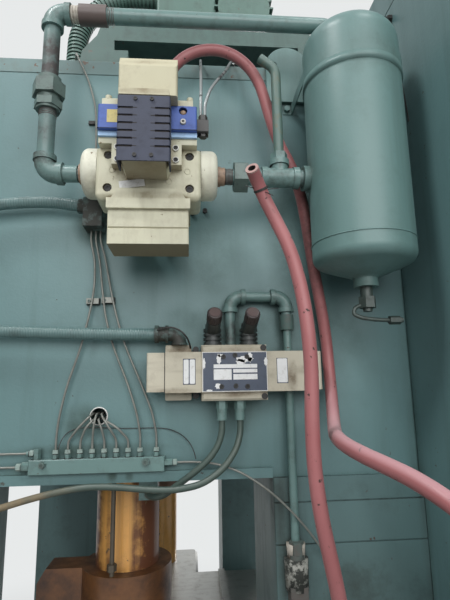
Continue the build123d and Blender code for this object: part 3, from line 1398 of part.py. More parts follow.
export_step(lube_tubes.part, "parts/lube_tubes.step")

# Green hoses from the valve's two lower ports, with the swaged fittings of every hose
green_radius = 6.5
green_x = (213.0, 250.0)
green_out = 45.0
green_top = 121.0
green_end_x = 58.0
green_end_out = -64.0
red_radius = 12.5

with BuildPart() as green_hoses:
    routed_tube(
        [
            spot(green_x[0], green_out, green_top),
            spot(green_x[0], green_out, 98),
            spot(205, green_out, 72),
            spot(186, green_out, 46),
            spot(160, 42, 24),
            spot(136, 36, 6),
            spot(112, 22, -13),
            spot(92, 2, -30),
            spot(70, -18, -36),
            spot(green_end_x, -40, -36),
            spot(green_end_x, green_end_out, -36),
        ],
        2 * green_radius,
    )
    routed_tube(
        [
            spot(green_x[1], green_out, green_top),
            spot(green_x[1], green_out, 96),
            spot(241, 51, 66),
            spot(215, 56, 30),
            spot(172, 59, 2),
            spot(116, 50, -9),
            spot(60, 38, -8),
            spot(6, 31, -3),
            spot(-48, 28, -1),
            spot(-104, 28, -8),
            spot(-160, 28, -20),
            spot(-220, 28, -36),
            spot(-284, 31, -56),
            spot(-346, 34, -82),
            spot(-386, 34, -97),
            spot(-420, 34, -97),
        ],
        2 * green_radius,
    )
green_hoses.part.label = "green_hoses"
export_step(green_hoses.part, "parts/green_hoses.step")

red_start = spot(96, 50, 838)
red_end_x = station_reach

with BuildPart() as red_hose_supply:
    routed_tube(
        [
            red_start,
            spot(96, 50, 866),
            spot(108, 58, 899),
            spot(134, 65, 926),
            spot(170, 70, 942),
            spot(211, 71, 946),
            spot(250, 71, 934),
            spot(283, 70, 907),
            spot(306, 70, 869),
            spot(319, 70, 823),
            spot(331, 70, 770),
            spot(349, 68, 712),
            spot(376, 62, 664),
            spot(394, 54, 610),
            spot(406, 47, 545),
            spot(417, 42, 450),
            spot(433, 32, 360),
            spot(444, 22, 290),
            spot(446, 24, 225),
            spot(442, 44, 165),
            spot(430, 86, 122),
            spot(414, 140, 105),
            spot(398, 196, 102),
            spot(393, 250, 96),
            spot(404, 296, 87),
            spot(424, 336, 77),
            spot(444, 378, 66),
            spot(466, 425, 46),
            spot(500, 462, 10),
            spot(544, 470, -44),
            spot(584, 442, -98),
            spot(606, 392, -140),
            spot(612, 330, -164),
            spot(612, 262, -170),
            spot(612, 200, -170),
        ],
        2 * red_radius,
    )
red_hose_supply.part.label = "red_hose_supply"
export_step(red_hose_supply.part, "parts/red_hose_supply.step")

cut_end_up = -294.0

with BuildPart() as red_hose_cut:
    routed_tube(
        [
            spot(262, 223, 579),
            spot(274, 200, 567),
            spot(288, 186, 540),
            spot(309, 188, 494),
            spot(331, 202, 434),
            spot(345, 212, 364),
            spot(352, 220, 291),
            spot(355, 220, 214),
            spot(351, 220, 132),
            spot(351, 220, 53),
            spot(359, 220, -24),
            spot(374, 216, -98),
            spot(388, 204, -164),
            spot(395, 180, -222),
            spot(395, 142, -268),
            spot(394, 92, cut_end_up),
            spot(394, 40, cut_end_up),
        ],
        2 * red_radius,
    )
red_hose_cut.part.label = "red_hose_cut"
export_step(red_hose_cut.part, "parts/red_hose_cut.step")

with BuildPart() as hose_fittings:
    for x in green_x:
        rod(spot(x, green_out, dir_up[0] + port_nipple), spot(x, green_out, dir_up[0] - 4), 9)
        hexagon(spot(x, green_out, dir_up[0]), spot(x, green_out, dir_up[0] - 17), 21)
        rod(spot(x, green_out, dir_up[0] - 17), spot(x, green_out, green_top), 10.5)
    block((green_end_x - 20, green_end_x + 20), (green_end_out - 28, green_end_out), (-52, 0))
    block((-470, -420), (upright_proud, upright_proud + 40), (-117, -77))
    block((76, 116), (0, 70), (794, 826))
    rod(red_start - Vector(0, 0, 12), red_start, red_radius + 1.5)
    block((red_end_x - 46, red_end_x), (160, 200), (-190, -150))
    block((374, 414), (upright_proud, 40), (cut_end_up - 20, cut_end_up + 20))
hose_fittings.part.label = "hose_fittings"
export_step(hose_fittings.part, "parts/hose_fittings.step")
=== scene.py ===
import math

import bmesh
import bpy
from mathutils import Matrix, Vector


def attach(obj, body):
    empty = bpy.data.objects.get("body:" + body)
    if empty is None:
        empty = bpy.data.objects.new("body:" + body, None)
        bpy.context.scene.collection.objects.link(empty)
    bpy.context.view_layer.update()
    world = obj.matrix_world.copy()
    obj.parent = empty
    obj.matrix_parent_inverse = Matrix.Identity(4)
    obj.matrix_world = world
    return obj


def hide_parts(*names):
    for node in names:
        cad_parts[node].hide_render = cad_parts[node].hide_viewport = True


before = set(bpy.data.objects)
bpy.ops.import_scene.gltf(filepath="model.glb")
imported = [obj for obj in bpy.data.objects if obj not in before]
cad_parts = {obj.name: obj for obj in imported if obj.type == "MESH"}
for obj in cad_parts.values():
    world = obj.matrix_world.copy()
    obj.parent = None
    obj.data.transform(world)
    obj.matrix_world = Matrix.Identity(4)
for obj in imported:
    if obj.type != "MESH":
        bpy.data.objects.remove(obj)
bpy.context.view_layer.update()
scene = bpy.context.scene
scene.view_settings.view_transform = "Standard"

# Camera: a wide view of the end wall from just under a metre, turned up and a little to the right,
# as someone looks up at the valve station from the press's bed.
camera_place = (0.148, -1.930, 2.397)
pitch, yaw, roll = math.radians(10.3), math.radians(4.6), math.radians(-0.96)
forward = Vector((math.sin(yaw) * math.cos(pitch), math.cos(yaw) * math.cos(pitch), math.sin(pitch)))
level = Vector((math.cos(yaw), -math.sin(yaw), 0))
upward = level.cross(forward)
right = math.cos(roll) * level + math.sin(roll) * upward
above = -math.sin(roll) * level + math.cos(roll) * upward
camera = bpy.data.objects.new("view_camera", bpy.data.cameras.new("view_camera"))
camera.data.lens = 27
camera.data.sensor_width = 36
camera.data.clip_start = 0.05
camera_turn = Matrix((right, above, -forward)).transposed().to_4x4()
camera.matrix_world = Matrix.Translation(camera_place) @ camera_turn
scene.collection.objects.link(camera)
scene.camera = camera


# Studio: two small lamps from above left and right, a broad one behind the camera and one for the far end.
# The world lights everything softly; the pale floor runs into the pale backdrop.
def lamp(name, place, target, size, power):
    """A rectangular lamp at one place, aimed at another, its sides in metres and its power in watts."""
    light = bpy.data.lights.new(name, "AREA")
    light.shape = "RECTANGLE"
    light.size, light.size_y = size
    light.energy = power
    holder = bpy.data.objects.new(name, light)
    holder.location = place
    holder.rotation_euler = (Vector(target) - Vector(place)).to_track_quat("-Z", "Y").to_euler()
    scene.collection.objects.link(holder)


lamp("key_lamp", (-1.5, -2.35, 5.9), (0.35, -1.0, 2.6), (0.7, 0.7), 76)
lamp("right_lamp", (1.3, -2.5, 5.8), (0.3, -1.0, 2.7), (0.6, 0.6), 18)
lamp("broad_lamp", (0.5, -4.7, 4.0), (0.4, -0.95, 2.6), (4.2, 2.6), 127)
lamp("far_lamp", (2.5, 5.2, 4.2), (0.0, 0.6, 2.0), (2.5, 2.5), 240)


def node(tree, kind, settings=None, **inputs):
    """Adds a shader node, sets its options, and sets or links its inputs."""
    made = tree.nodes.new("ShaderNode" + kind)
    for key, value in (settings or {}).items():
        setattr(made, key, value)
    for key, value in inputs.items():
        socket = made.inputs[int(key[1:]) if key[0] == "_" else key]
        if isinstance(value, bpy.types.NodeSocket):
            tree.links.new(value, socket)
        else:
            socket.default_value = value
    return made


def work_out(tree, operation, first, second, clamped=False):
    """Joins two values by one Math node."""
    return node(tree, "Math", {"operation": operation, "use_clamp": clamped}, _0=first, _1=second).outputs[0]


def remap(tree, value, low, high, start, end, **settings):
    """Brings a value from one range into another."""
    return node(tree, "MapRange", settings, Value=value, _1=low, _2=high, _3=start, _4=end).outputs[0]


def shows_backdrop(tree):
    """One for rays that meet the backdrop straight, in a gloss or through glass, and nought for others."""
    rays = node(tree, "LightPath").outputs
    mirrored = work_out(tree, "ADD", rays["Is Glossy Ray"], rays["Is Transmission Ray"])
    return work_out(tree, "ADD", rays["Is Camera Ray"], mirrored, clamped=True)


backdrop_colour = (0.80, 0.82, 0.82, 1)
world = bpy.data.worlds.new("studio_world")
scene.world = world
world.use_nodes = True
sky = world.node_tree
sky.nodes.clear()
ambient = node(sky, "Background", Color=(0.86, 0.93, 1.0, 1), Strength=0.12)
backdrop = node(sky, "Background", Color=backdrop_colour, Strength=1.0)
both = node(sky, "MixShader", _0=shows_backdrop(sky), _1=ambient.outputs[0], _2=backdrop.outputs[0])
node(sky, "OutputWorld", Surface=both.outputs[0])

floor_half = 14
fade_from, fade_to = 1.4, 5.0
bm = bmesh.new()
bmesh.ops.create_grid(bm, x_segments=1, y_segments=1, size=floor_half)
floor_mesh = bpy.data.meshes.new("studio_floor")
bm.to_mesh(floor_mesh)
bm.free()
floor = bpy.data.objects.new("studio_floor", floor_mesh)
scene.collection.objects.link(floor)
floor_paint = bpy.data.materials.new("studio_floor")
floor_paint.use_nodes = True
ground = floor_paint.node_tree
ground.nodes.clear()
near_floor = node(ground, "BsdfDiffuse", Color=(0.66, 0.66, 0.65, 1))
far_floor = node(ground, "Emission", Color=backdrop_colour, Strength=1.0)
away = node(ground, "VectorMath", {"operation": "LENGTH"}, _0=node(ground, "TexCoord").outputs["Object"])
fade = remap(ground, away.outputs["Value"], fade_from, fade_to, 0.0, 1.0, interpolation_type="SMOOTHSTEP")
looked_at = work_out(ground, "MULTIPLY", fade, shows_backdrop(ground))
floor_mix = node(ground, "MixShader", _0=looked_at, _1=near_floor.outputs[0], _2=far_floor.outputs[0])
node(ground, "OutputMaterial", Surface=floor_mix.outputs[0])
floor_mesh.materials.append(floor_paint)

# Red air hoses: 25 mm rubber hose, the one whole and fixed at both ends, the other cut through
# just under the tee and left standing. Their rubber is chalky, with oil specks; a painted highlight lightens
# their upper sides, and painted shade darkens the supply hose's run beside the tank.
wall_face = -950
crown_foot = 2200


def spot(x, out, up):
    """A place by x, distance out from the end wall and height over the crown's lower edge, in mm."""
    return Vector((x / 1000, (wall_face - out) / 1000, (crown_foot + up) / 1000))


def blend(tree, factor, first, second):
    """Mixes two colours."""
    return node(tree, "Mix", {"data_type": "RGBA"}, Factor=factor, _6=first, _7=second).outputs[2]


def finish(name, base, other, grime_and_shade_colour, rough, **more):
    """A worn finish: two tones in broad clouds, grime in patches and streaks, grime and painted shade in
    corners, painted shade on undersides, dust and a painted highlight on upward faces, grime and painted
    shadow in local marks, chips and grain.
    """
    told = {
        "broad": 4.0, "cloud": 22.0, "cloud_from": 0.5, "cloud_to": 0.8, "grime": 0.5,
        "streaks": 0.0, "stretch": (20, 20, 1.2), "corner": 0.6, "reach": 0.03, "under": 0.0, "marks": (),
        "chips": 0.0, "chip_scale": 45.0, "chip_colour": (0.2, 0.2, 0.19),
        "dust": 0.0, "dust_colour": (0.5, 0.5, 0.5),
        "grain": 320.0, "grain_height": 0.00015, "ribs": 0.0, "metal": 0.0, "sheen": 0.0, "coat": 0.0,
    }
    told.update(more)
    paint = bpy.data.materials.new(name)
    paint.use_nodes = True
    tree = paint.node_tree
    shader = tree.nodes["Principled BSDF"]
    surface = node(tree, "TexCoord").outputs
    place = surface["Object"]
    broad = node(tree, "TexNoise", Vector=place, Scale=told["broad"], Detail=3.0, Roughness=0.55)
    tone = blend(tree, broad.outputs["Fac"], (*base, 1), (*other, 1))
    clouds = node(tree, "TexNoise", Vector=place, Scale=told["cloud"], Detail=7.0, Roughness=0.68)
    cloud = clouds.outputs["Fac"]
    mask = remap(tree, cloud, told["cloud_from"], told["cloud_to"], 0.0, told["grime"])
    if told["streaks"]:
        pulled = node(tree, "Mapping", Vector=place, Scale=told["stretch"]).outputs[0]
        runs = node(tree, "TexNoise", Vector=pulled, Scale=1.0, Detail=5.0, Roughness=0.6).outputs["Fac"]
        mask = work_out(tree, "MAXIMUM", mask, remap(tree, runs, 0.52, 0.78, 0.0, told["streaks"]))
    # Corners, creases and gaps between parts go darker through an ambient-occlusion mask: partly grime,
    # partly painted shade.
    if told["corner"]:
        near = node(tree, "AmbientOcclusion", {"samples": 4}, Distance=told["reach"]).outputs["AO"]
        shut = remap(tree, near, 0.75, 0.15, 0.0, told["corner"])
        corner_grime_and_shade = work_out(tree, "MULTIPLY", shut, remap(tree, cloud, 0.3, 0.62, 0.25, 1.0))
        mask = work_out(tree, "ADD", mask, corner_grime_and_shade, clamped=True)
    # Painted shade: faces that turn downwards are darkened, as if in shadow.
    if told["under"]:
        facing = node(tree, "SeparateXYZ", _0=surface["Normal"]).outputs["Z"]
        mask = work_out(tree, "MAXIMUM", mask, remap(tree, facing, -0.55, -0.95, 0.0, told["under"]))
    # Darker patches round given places: grime and drips in some, painted shadow and shade in others.
    for centre, reach, amount in told["marks"]:
        offset = node(tree, "VectorMath", {"operation": "SUBTRACT"}, _0=place, _1=spot(*centre)).outputs[0]
        shares = node(tree, "VectorMath", {"operation": "DIVIDE"}, _0=offset, _1=Vector(reach) / 1000)
        away = node(tree, "VectorMath", {"operation": "LENGTH"}, _0=shares.outputs[0]).outputs["Value"]
        spread = remap(tree, away, 1.0, 0.25, 0.0, amount, interpolation_type="SMOOTHSTEP")
        local_darkening = work_out(tree, "MULTIPLY", spread, remap(tree, cloud, 0.32, 0.58, 0.35, 1.0))
        mask = work_out(tree, "ADD", mask, local_darkening, clamped=True)
    colour = blend(tree, mask, tone, (*grime_and_shade_colour, 1))
    grain = node(tree, "TexNoise", Vector=place, Scale=told["grain"], Detail=3.0, Roughness=0.6)
    height = grain.outputs["Fac"]
    if told["chips"]:
        flakes = node(tree, "TexNoise", Vector=place, Scale=told["chip_scale"], Detail=9.0, Roughness=0.6)
        limit = 0.70 - 0.12 * told["chips"]
        chip = remap(tree, flakes.outputs["Fac"], limit, limit + 0.015, 0.0, 1.0)
        colour = blend(tree, chip, colour, (*told["chip_colour"], 1))
        height = work_out(tree, "SUBTRACT", height, chip)
    # Faces that turn upwards are lightened towards a pale colour: partly dust, partly a painted highlight.
    if told["dust"]:
        facing = node(tree, "SeparateXYZ", _0=surface["Normal"]).outputs["Z"]
        settled_dust_and_highlight = remap(tree, facing, 0.25, 0.95, 0.0, told["dust"])
        colour = blend(tree, settled_dust_and_highlight, colour, (*told["dust_colour"], 1))
    if told["ribs"]:
        ribs = node(tree, "TexWave", Vector=place, Scale=told["ribs"]).outputs["Fac"]
        height = work_out(tree, "ADD", height, ribs)
    tree.links.new(colour, shader.inputs["Base Color"])
    tree.links.new(remap(tree, mask, 0.0, 1.0, rough, min(1.0, rough + 0.3)), shader.inputs["Roughness"])
    shader.inputs["Metallic"].default_value = told["metal"]
    shader.inputs["Coat Weight"].default_value = told["coat"]
    shader.inputs["Sheen Weight"].default_value = told["sheen"]
    bump = node(tree, "Bump", Strength=1.0, Distance=told["grain_height"], Height=height)
    tree.links.new(bump.outputs[0], shader.inputs["Normal"])
    return paint


# The rubber's mark is painted shade down the supply hose beside the tank, and its top-face lightening is
# partly a painted highlight.
rubber_red = finish("red_hose_rubber", (0.285, 0.083, 0.084), (0.42, 0.16, 0.165), (0.07, 0.035, 0.03), 0.45,
                    broad=9.0, cloud=70.0, cloud_from=0.6, cloud_to=0.75, grime=0.75, corner=0.5,
                    reach=0.02, grain=500.0, grain_height=0.0002, sheen=0.1, chips=0.35, chip_scale=70.0,
                    chip_colour=(0.06, 0.025, 0.022), dust=0.6, dust_colour=(0.68, 0.42, 0.45),
                    marks=(((395, 60, 500), (100, 70, 330), 0.6),))
hose_width = 0.025


def hose(name, route, width, paint):
    """A round hose on one smooth spline through the route's control points."""
    line = bpy.data.curves.new(name, "CURVE")
    line.dimensions = "3D"
    line.bevel_depth = width / 2
    line.bevel_resolution = 6
    spline = line.splines.new("NURBS")
    spline.points.add(len(route) - 1)
    for point, place in zip(spline.points, route):
        point.co = (*spot(*place), 1)
    spline.order_u = 3
    spline.use_endpoint_u = True
    spline.resolution_u = 8
    made = bpy.data.objects.new(name, line)
    scene.collection.objects.link(made)
    line.materials.append(paint)
    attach(made, "frame")
    return made


supply_route = [
    (96, 50, 838), (96, 50, 866), (108, 58, 899), (134, 65, 926), (170, 70, 942), (211, 71, 946),
    (250, 71, 934), (283, 70, 907), (306, 70, 869), (319, 70, 823), (331, 70, 770), (349, 68, 712),
    (376, 62, 664), (394, 54, 610), (406, 47, 545), (417, 42, 450), (433, 32, 360), (444, 22, 290),
    (446, 24, 225), (442, 44, 165), (430, 86, 122), (414, 140, 105), (398, 196, 102), (393, 250, 96),
    (404, 296, 87), (424, 336, 77), (444, 378, 66), (466, 425, 46), (500, 462, 10), (544, 470, -44),
    (584, 442, -98), (606, 392, -140), (612, 330, -164), (612, 262, -170), (612, 200, -170),
]
cut_route = [
    (394, 40, -294), (394, 92, -294), (395, 142, -268), (395, 180, -222), (388, 204, -164),
    (374, 216, -98), (359, 220, -24), (351, 220, 53), (351, 220, 132), (355, 220, 214), (352, 220, 291),
    (345, 212, 364), (331, 202, 434), (309, 188, 494), (288, 186, 540), (274, 200, 567),
    (262, 223, 579),
]
supply_hose = hose("supply_hose", supply_route, hose_width, rubber_red)
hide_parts("red_hose_supply")
cut_hose = hose("cut_hose", cut_route, hose_width, rubber_red)
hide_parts("red_hose_cut")


# The cut hose's open mouth: it was cut square across and shows its thick wall and a bore darkened by painted
# shade. A twist of black wire ties it just below, with its ends left standing out.
def piece(name, bm, paints, body="frame", smooth=False):
    """Makes an object of a bmesh, with its finishes and the body that it rides."""
    bmesh.ops.recalc_face_normals(bm, faces=bm.faces)
    for face in bm.faces:
        face.smooth = smooth
    mesh = bpy.data.meshes.new(name)
    bm.to_mesh(mesh)
    bm.free()
    for paint in paints:
        mesh.materials.append(paint)
    made = bpy.data.objects.new(name, mesh)
    scene.collection.objects.link(made)
    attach(made, body)
    return made


def bar(bm, start, end, radius, tip=None, sides=24):
    """A round or many-sided bar between two places, its radius in mm."""
    way = end - start
    turn = way.to_track_quat("Z", "Y").to_matrix().to_4x4()
    if tip is None:
        tip = radius
    return bmesh.ops.create_cone(
        bm, cap_ends=True, segments=sides, radius1=radius / 1000, radius2=tip / 1000, depth=way.length,
        matrix=Matrix.Translation((start + end) / 2) @ turn)["verts"]


def bead(bm, centre, axis, radius, thick, sides=48):
    """A ring of round section about an axis, its sizes in mm."""
    place = Matrix.Translation(centre) @ axis.to_track_quat("Z", "Y").to_matrix().to_4x4()
    section = place @ Matrix.Translation((radius / 1000, 0, 0)) @ Matrix.Rotation(math.pi / 2, 4, "X")
    verts = bmesh.ops.create_circle(bm, segments=8, radius=thick / 1000, matrix=section)["verts"]
    edges = list({edge for vert in verts for edge in vert.link_edges})
    bmesh.ops.spin(bm, geom=verts + edges, cent=centre, axis=axis, angle=2 * math.pi, steps=sides,
                   use_merge=True)


# Near-black painted shade: in the hose's bore, the joints by the pilot head and end caps, the cover's slots,
# and round the tube nuts and clips; also the override button's dark centre.
shade_black = finish("shade_black_paint", (0.012, 0.01, 0.01), (0.02, 0.016, 0.015), (0.03, 0.02, 0.02), 0.8)
hose_rim = finish("hose_rim", (0.50, 0.36, 0.33), (0.38, 0.20, 0.18), (0.08, 0.05, 0.05), 0.7, broad=120.0)
rim_depth, rim_wall, bore_depth = 0.003, 0.0052, 0.014
hose_mouth = spot(*cut_route[-1])
mouth_way = (hose_mouth - spot(*cut_route[-2])).normalized()
bm = bmesh.new()
bar(bm, hose_mouth - mouth_way * rim_depth, hose_mouth + mouth_way * 0.0003, hose_width / 2 * 1000,
    sides=32)
back, mouth = sorted((face for face in bm.faces if len(face.verts) > 4),
                     key=lambda face: (face.calc_center_median() - hose_mouth).dot(mouth_way))
bmesh.ops.delete(bm, geom=[back], context="FACES_ONLY")
bmesh.ops.inset_region(bm, faces=[mouth], thickness=rim_wall)
inner = bmesh.ops.extrude_discrete_faces(bm, faces=[mouth])["faces"]
bmesh.ops.translate(bm, verts=inner[0].verts, vec=mouth_way * -bore_depth)
for face in bm.faces:
    if face == inner[0] or (hose_mouth - face.calc_center_median()).dot(mouth_way) > rim_depth + 0.0002:
        face.material_index = 1
piece("cut_hose_mouth", bm, [hose_rim, shade_black])
black_wire = finish("black_wire", (0.015, 0.015, 0.015), (0.03, 0.03, 0.03), (0.05, 0.04, 0.03), 0.45)
tie_ends = (spot(252, 206, 552), spot(312, 212, 546), spot(300, 216, 530))
tie_low, tie_high = spot(*cut_route[-3]), spot(*cut_route[-2])
tie_way = (tie_high - tie_low).normalized()
tie_place = tie_low.lerp(tie_high, 0.42) + Vector((0.001, 0, 0))
bm = bmesh.new()
for step in (0.0, 0.0022):
    bead(bm, tie_place + tie_way * step, tie_way, 13.2, 1.2)
for far in tie_ends:
    bar(bm, tie_place.lerp(far, 0.4), far, 0.9, sides=6)
piece("hose_tie", bm, [black_wire], smooth=True)

# Press frame: stacked castings under sprayed machine enamel, smudged by hands and oil, darker round
# every fitting from grime and painted shade, with painted shadow below the main valve and about the tank.
# The lid's edge has lost its colour and the lip over the opening is rusting through.
# Darker patches on the end wall: oil drips and grime round the manifold and gland, and painted shadow below
# the main valve and about the tank.
wall_grime_and_shadow_marks = [
    ((190, 0, 470), (110, 60, 130), 0.4), ((240, 0, 640), (120, 60, 60), 0.3),
    ((-62, 0, 540), (60, 60, 60), 0.7), ((-70, 0, 120), (60, 60, 50), 0.7),
    ((130, 0, 330), (60, 60, 50), 0.35), ((-40, 0, 66), (190, 60, 16), 0.6),
    ((230, 0, 320), (110, 60, 60), 0.55), ((330, 0, 260), (70, 60, 140), 0.2),
    ((240, 0, 130), (90, 60, 60), 0.35), ((-8, 0, 12), (14, 60, 16), 1.0),
    ((26, 0, 11), (12, 60, 12), 1.0), ((395, 0, 560), (90, 60, 260), 0.5),
    ((450, 0, 300), (150, 60, 120), 0.35),
]
enamel_green = finish("machine_enamel", (0.108, 0.203, 0.206), (0.142, 0.252, 0.256), (0.042, 0.078, 0.067),
                      0.4, broad=2.2, cloud=9.0, grime=0.2, streaks=0.3, corner=0.85, reach=0.05,
                      chips=0.12, chip_scale=60.0, chip_colour=(0.07, 0.08, 0.07), grain=160.0,
                      grain_height=0.0003, marks=wall_grime_and_shadow_marks)
enamel_lid = finish("lid_enamel", (0.15, 0.235, 0.23), (0.115, 0.20, 0.195), (0.13, 0.10, 0.08), 0.5,
                    broad=6.0, cloud=30.0, grime=0.45, chips=0.5, chip_colour=(0.13, 0.085, 0.06),
                    corner=0.7,
                    marks=(((330, 0, 800), (170, 60, 60), 0.7), ((-200, 0, 800), (90, 60, 60), 0.5)))
enamel_post = finish("upright_enamel", (0.076, 0.142, 0.143), (0.105, 0.182, 0.182), (0.025, 0.035, 0.03),
                     0.42, broad=3.0, cloud=10.0, grime=0.5, streaks=0.45, corner=0.85, chips=0.12,
                     chip_colour=(0.07, 0.05, 0.04), grain=160.0, grain_height=0.0003,
                     marks=(((480, 0, -260), (260, 80, 200), 0.45), ((330, 0, -60), (60, 60, 200), 0.5)))


def dress(paint, *nodes):
    """Gives CAD nodes a finish."""
    for name in nodes:
        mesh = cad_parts[name].data
        mesh.materials.clear()
        mesh.materials.append(paint)


dress(enamel_green, "crown", "side_plate")
dress(enamel_lid, "crown_lid")
dress(enamel_post, "upright_near_left", "upright_near_right", "upright_far_left", "upright_far_right", "bed")
cast_black = finish("black_steel", (0.012, 0.012, 0.012), (0.028, 0.027, 0.025), (0.012, 0.01, 0.008), 0.6,
                    broad=14.0, cloud=60.0, corner=0.4)
rod_steel = finish("rod_steel", (0.10, 0.08, 0.05), (0.06, 0.05, 0.04), (0.03, 0.022, 0.015), 0.45,
                   broad=12.0)
dress(cast_black, "levelling_feet", "socket_screws")
dress(rod_steel, "stop_rod")

# Slide, bolster and their guide posts: ground steel faces, oiled, with bronze bushes and
# orange guards on the posts that the oil has run down, their sides darkened by oil and by painted shade.
ground_steel = finish("ground_steel", (0.42, 0.42, 0.40), (0.30, 0.30, 0.285), (0.10, 0.085, 0.06), 0.32,
                      broad=6.0, cloud=25.0, grime=0.5, metal=0.85, streaks=0.3, stretch=(3, 60, 60),
                      corner=0.5)
bronze = finish("guide_bronze", (0.45, 0.32, 0.15), (0.36, 0.26, 0.13), (0.09, 0.06, 0.03), 0.35, metal=0.8)
# The two broad marks darken both sides of each post: oil, and painted shade where the round post turns away
# from the light.
orange = finish("orange_enamel", (0.90, 0.48, 0.13), (0.74, 0.36, 0.10), (0.12, 0.04, 0.015), 0.34,
                broad=5.0, cloud=40.0, cloud_from=0.5, cloud_to=0.8, grime=0.25, streaks=0.7,
                stretch=(34, 34, 1.6), corner=0.9, reach=0.06, chips=0.3, chip_colour=(0.16, 0.10, 0.05),
                coat=0.3,
                marks=(((-80, -190, -150), (46, 130, 900), 1.3), ((84, -190, -150), (80, 150, 900), 2.4),
                       ((-36, -126, -150), (9, 60, 500), 0.6), ((24, -126, -120), (12, 60, 400), 0.4)))
oily_orange = finish("oily_orange", (0.24, 0.10, 0.03), (0.13, 0.055, 0.025), (0.03, 0.016, 0.012), 0.3,
                     broad=6.0, cloud=12.0, cloud_from=0.36, cloud_to=0.7, grime=0.95, corner=1.0,
                     reach=0.06)
dress(ground_steel, "slide", "bolster")
dress(bronze, "guide_bushes")
dress(orange, "guide_posts")
dress(oily_orange, "post_collars")

# Drive at the far end: a cast flywheel on its shaft, grooved for the belt, and on the crown's lid the motor
# that turns it through a small steel pulley and a rubber belt.
enamel_fitting = finish("fitting_enamel", (0.112, 0.196, 0.184), (0.16, 0.262, 0.247), (0.03, 0.032, 0.026),
                        0.34, broad=12.0, cloud=45.0, cloud_from=0.46, cloud_to=0.75, grime=0.8, corner=1.0,
                        reach=0.02, grain=420.0,
                        marks=(((-62, 70, 545), (70, 110, 90), 1.3), ((90, 40, 285), (80, 70, 70), 1.1),
                               ((-142, 112, 650), (70, 60, 60), 0.4), ((310, 60, 330), (50, 60, 60), 0.3)))
belt_rubber = finish("belt_rubber", (0.018, 0.018, 0.018), (0.035, 0.033, 0.03), (0.06, 0.055, 0.05), 0.7)
dress(enamel_fitting, "flywheel", "main_motor")
dress(ground_steel, "motor_pulley")
dress(belt_rubber, "drive_belt")

# Lubrication unit on the crown: a folded sheet stand, an oil tank and a finned pump motor, bolted together
# and painted in an older green, and the ribbed air duct that runs into the tank.
old_enamel_wear_and_corner_shade = dict(broad=7.0, cloud=24.0, grime=0.6, streaks=0.5, corner=0.95, reach=0.05, chips=0.2,
                       chip_colour=(0.10, 0.08, 0.06))
enamel_pale = finish("pale_enamel", (0.082, 0.155, 0.13), (0.112, 0.20, 0.17), (0.035, 0.045, 0.035), 0.45,
                     **old_enamel_wear_and_corner_shade)
enamel_stand = finish("stand_enamel", (0.048, 0.098, 0.086), (0.074, 0.138, 0.122), (0.03, 0.04, 0.032),
                      0.45, **old_enamel_wear_and_corner_shade)
dress(enamel_pale, "lube_unit", "air_duct")
dress(enamel_stand, "lube_stand")

# Pipework: threaded steel pipe in malleable elbows, unions and a tee, all painted over in place,
# with the couplings worn back to brown iron.
enamel_pipe = finish("pipe_enamel", (0.118, 0.205, 0.195), (0.165, 0.275, 0.26), (0.042, 0.038, 0.036), 0.3,
                     broad=9.0, cloud=28.0, grime=0.6, corner=0.95, reach=0.025, chips=0.15,
                     chip_scale=70.0, chip_colour=(0.07, 0.06, 0.045), grain=260.0,
                     marks=(((-130, 112, 850), (50, 70, 130), 1.2), ((-142, 112, 700), (60, 60, 60), 0.6),
                            ((232, 60, 300), (60, 60, 60), 0.8)))
brown_iron = finish("brown_iron", (0.088, 0.062, 0.057), (0.12, 0.09, 0.08), (0.075, 0.13, 0.118), 0.4,
                    broad=20.0, cloud=60.0, grime=0.2, corner=0.0, grain=500.0,
                    marks=(((380, 60, 160), (160, 160, 480), 1.4),))
painted_iron = finish("painted_iron", (0.075, 0.122, 0.11), (0.12, 0.175, 0.157), (0.03, 0.023, 0.02), 0.38,
                      broad=20.0, cloud=60.0, grime=0.8, corner=0.9, reach=0.02, grain=500.0)
dress(enamel_pipe, "steel_pipes")
dress(enamel_fitting, "pipe_elbows", "pipe_tee")
dress(brown_iron, "pipe_couplings")
dress(painted_iron, "hex_unions")
enamel_branch = finish("branch_enamel", (0.068, 0.124, 0.112), (0.105, 0.168, 0.142), (0.16, 0.12, 0.05),
                       0.4, broad=12.0, cloud=40.0, cloud_from=0.52, cloud_to=0.7, grime=0.6, corner=0.6,
                       reach=0.02)
drain_iron = finish("drain_iron", (0.03, 0.047, 0.042), (0.055, 0.08, 0.07), (0.02, 0.018, 0.015), 0.42,
                    broad=25.0, cloud=60.0, grime=0.85, corner=0.9, reach=0.02, grain=500.0)
dress(enamel_branch, "branch_pipe")
dress(drain_iron, "drain_valve")
thread_tape = finish("thread_tape", (0.56, 0.53, 0.47), (0.42, 0.38, 0.32), (0.18, 0.13, 0.09), 0.7,
                     broad=60.0, cloud=120.0, grime=0.7, grain=900.0, grain_height=0.0005)
pipe_out, port_up, top_pipe_up = 112, 614, 982
riser_x, drop_x, drop_out = -142, 358.6, 21
along_wall, straight_up = Vector((1, 0, 0)), Vector((0, 0, 1))
bm = bmesh.new()
for start, end, radius in ((-104, -98, 18.0), (-98, -91, 17.6), (-91, -86.3, 18.2)):
    bar(bm, spot(start, pipe_out, top_pipe_up), spot(end, pipe_out, top_pipe_up), radius, sides=32)
bar(bm, spot(drop_x, drop_out, -122), spot(drop_x, drop_out, -148), 19.0, 17.5, sides=32)
piece("thread_tapes", bm, [thread_tape], smooth=True)
dirty_wrap = finish("dirty_wrap", (0.40, 0.40, 0.36), (0.24, 0.25, 0.22), (0.022, 0.026, 0.022), 0.6,
                    broad=30.0, cloud=55.0, cloud_from=0.42, cloud_to=0.52, grime=0.97, grain=600.0,
                    grain_height=0.0006)
bm = bmesh.new()
